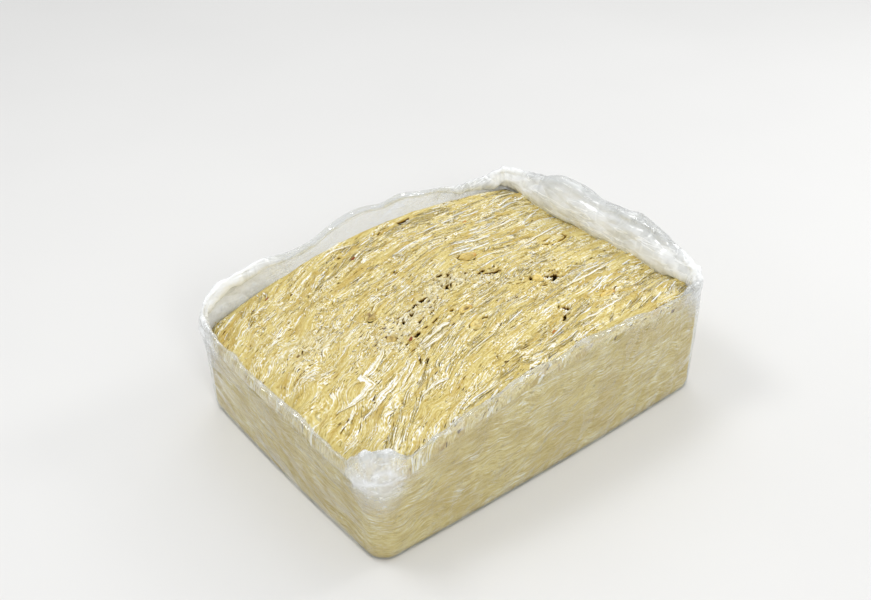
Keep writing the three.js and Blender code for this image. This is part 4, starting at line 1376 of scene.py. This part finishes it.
def make_film(finish):
    """The film: an open bag. Its section is carried round the slab, pushed in and out along its own
    normal by crumples that grow towards the rim, and given two faces a film's thickness apart."""
    share = np.arange(FILM_POINTS) / FILM_POINTS
    out, up, edge, height = film_section(share)
    steps = np.hypot(np.diff(out, axis=1), np.diff(up, axis=1))
    run = np.concatenate([np.zeros((len(share), 1)), steps], 1).cumsum(1)
    slope_out, slope_up = np.gradient(out, axis=1), np.gradient(up, axis=1)
    slope = np.hypot(slope_out, slope_up)
    normal_out, normal_up = slope_up / slope, -slope_out / slope
    free = step_between(up, edge - FILM_SHOULDER - FILM_WANDER * (1 + rim_noise(share, 38, 68)), edge + 8)
    base = step_between(up, 1, 8)
    pleat = collar_value(share, COLLAR_PLEAT)
    start = edge - FILM_SHOULDER * (1 + 2.5 * pleat) - FILM_WANDER * (1 + rim_noise(share, 45, 67))
    milk = collar_value(share, COLLAR_MILK) * step_between(up, start, edge + 8)
    from_rim = run - run[:, RIM_COLUMN, None]
    rolled = step_between(collar_value(share, COLLAR_LIP), 18, 30)
    milk = milk * (1 - 0.6 * bell(from_rim, 9) * rolled)
    clear = step_between(share, 0.55, 0.59) * (1 - step_between(share, 0.72, 0.76))
    loose = free * (1 - 0.7 * clear[:, None])
    crumple = np.zeros_like(run)
    crease_and_glint = np.zeros_like(run)
    for span, reach, on_wall, on_collar, on_pleats, seed in FILM_FOLDS:
        turns = round(PERIMETER / span)
        fold = crest_noise(share[:, None] * turns + 0.4 * np.sin(run / 17), run / reach, seed, turns)
        crumple += on_wall * base * (1 - free) * (fold + 1) / 2
        crumple += fold * loose * (on_collar * (1 - 0.7 * pleat) + on_pleats * pleat)
        # Creases whiten where folds peak: partly the film's whitening and partly a painted glint
        crease_and_glint += step_between(fold, 0.7, 1) * loose * (0.04 + 0.4 * pleat)
    line = edge + height * (0.62 + 0.2 * rim_noise(share, 70, 65))
    bend = np.clip(up - line, 0, None) * clear[:, None]
    # The fold line of the clear sheet: whitened, and painted as a glint line
    crease_and_glint += 0.9 * bell(up - line, 1.1) * clear[:, None]
    out = out + crumple * normal_out + 0.3 * bend
    up = up + crumple * normal_up
    plan, normal = outline_point(share)[:, None], outline_normal(share)[:, None]
    rows = []
    for side in (1, -1):
        reach = out + side * FILM_THICKNESS / 2 * normal_out
        z = up + side * FILM_THICKNESS / 2 * normal_up
        z[:, 0] = FILM_THICKNESS * (side < 0)
        rows.append(np.concatenate([plan + reach[..., None] * normal, z[..., None]], -1).transpose(1, 0, 2))
    outer = np.arange(run.size).reshape(run.shape[::-1])
    inner = outer + run.size
    rings = np.concatenate([outer, inner[::-1]])
    centres = np.array([[0, 0, 0], [0, 0, FILM_THICKNESS]])
    points = np.concatenate([rows[0].reshape(-1, 3), rows[1].reshape(-1, 3), centres])
    below, above = 2 * run.size, 2 * run.size + 1
    faces = [ring_faces(rings), fan_faces(outer[0][::-1], below), fan_faces(inner[0], above)]
    values = {
        "milk": np.concatenate([milk.T.ravel(), milk.T.ravel(), [0, 0]]),
        "crease_and_glint": np.concatenate([crease_and_glint.T.ravel(), crease_and_glint.T.ravel(), [0, 0]]),
    }
    return make_piece("film", points, faces, finish, "film", ["film_liner"], **values)


# Stage: a pale floor, soft light and the camera

def make_floor():
    """A wide pale floor under the part."""
    floor = Finish("floor")
    body = floor.mix(floor.noise(floor.place(), scale=3.0), colour(*FLOOR_GREY), colour(*FLOOR_PALE))
    shader = floor.node("ShaderNodeBsdfPrincipled", {}, {"Base Color": body, "Roughness": 0.8})
    mesh = bpy.data.meshes.new("floor")
    ways = ((-1, -1), (1, -1), (1, 1), (-1, 1))
    corners = [(FLOOR_REACH * x, FLOOR_REACH * y, FLOOR_LEVEL) for x, y in ways]
    mesh.from_pydata(corners, [], [(0, 1, 2, 3)])
    mesh.materials.append(floor.surface(shader))
    plane = bpy.data.objects.new("floor", mesh)
    bpy.context.scene.collection.objects.link(plane)


def add_light(name, place, size, power):
    """A square soft light that shines on the slab's middle."""
    lamp = bpy.data.lights.new(name, "AREA")
    lamp.energy = power
    lamp.size = size
    light = bpy.data.objects.new(name, lamp)
    light.location = place
    light.rotation_euler = (Vector(LIGHT_AIM) - Vector(place)).to_track_quat("-Z", "Y").to_euler()
    bpy.context.scene.collection.objects.link(light)


def add_camera():
    """The camera at the photograph's viewing angle. It looks along its own -Z, with its up at right angles to
    its right and the way ahead."""
    ahead = Vector(CAMERA_AHEAD).normalized()
    right = Vector(CAMERA_RIGHT).normalized()
    up = right.cross(ahead).normalized()
    camera = bpy.data.cameras.new("camera")
    camera.sensor_width = CAMERA_SENSOR
    camera.lens = CAMERA_LENS
    seat = bpy.data.objects.new("camera", camera)
    turn = Matrix((right, up, -ahead)).transposed()
    seat.matrix_world = Matrix.Translation(Vector(CAMERA_PLACE) * MM) @ turn.to_4x4()
    bpy.context.scene.collection.objects.link(seat)
    bpy.context.scene.camera = seat


def add_world(strength):
    """Even white surroundings."""
    world = bpy.data.worlds.new("surroundings")
    world.use_nodes = True
    background = world.node_tree.nodes["Background"]
    background.inputs["Color"].default_value = (1.0, 1.0, 1.0, 1.0)
    background.inputs["Strength"].default_value = strength
    bpy.context.scene.world = world


top = make_top()
# The last number of each halva finish is how strong the painted highlight on the crests is
halva = halva_finish("halva", 0.62, 0.0)
pale_halva = halva_finish("pale_halva", 0.7, 0.15)
white_halva = halva_finish("white_halva", 0.7, 1.0)
make_slab(top, halva)
make_strands(top, "pale_strands", at_firm_places, PALE_STRANDS, 34, (0.35, 0.8), 0.05, 0.6, pale_halva)
make_strands(top, "straw_strands", at_firm_places, STRAW_STRANDS, 18, (0.4, 1.0), 0.08, -0.3, halva)
make_strands(top, "white_threads", at_right, WHITE_THREADS, 52, (1.0, 2.0), 0.025, 1.0, white_halva, 0.3)
make_ribbons(top, pale_halva)
make_bold_ribbons(top, halva_finish("ribbon_halva", 0.6, 0.52))
make_chips(top, halva_finish("chip_halva", 0.6, 0.2))
make_nuts(nut_finish())
make_skins(top, skin_finish())
make_film(film_finish())

make_floor()
for light in LIGHTS:
    add_light(*light)
add_camera()
add_world(SURROUNDINGS)
bpy.context.scene.view_settings.view_transform = "Standard"
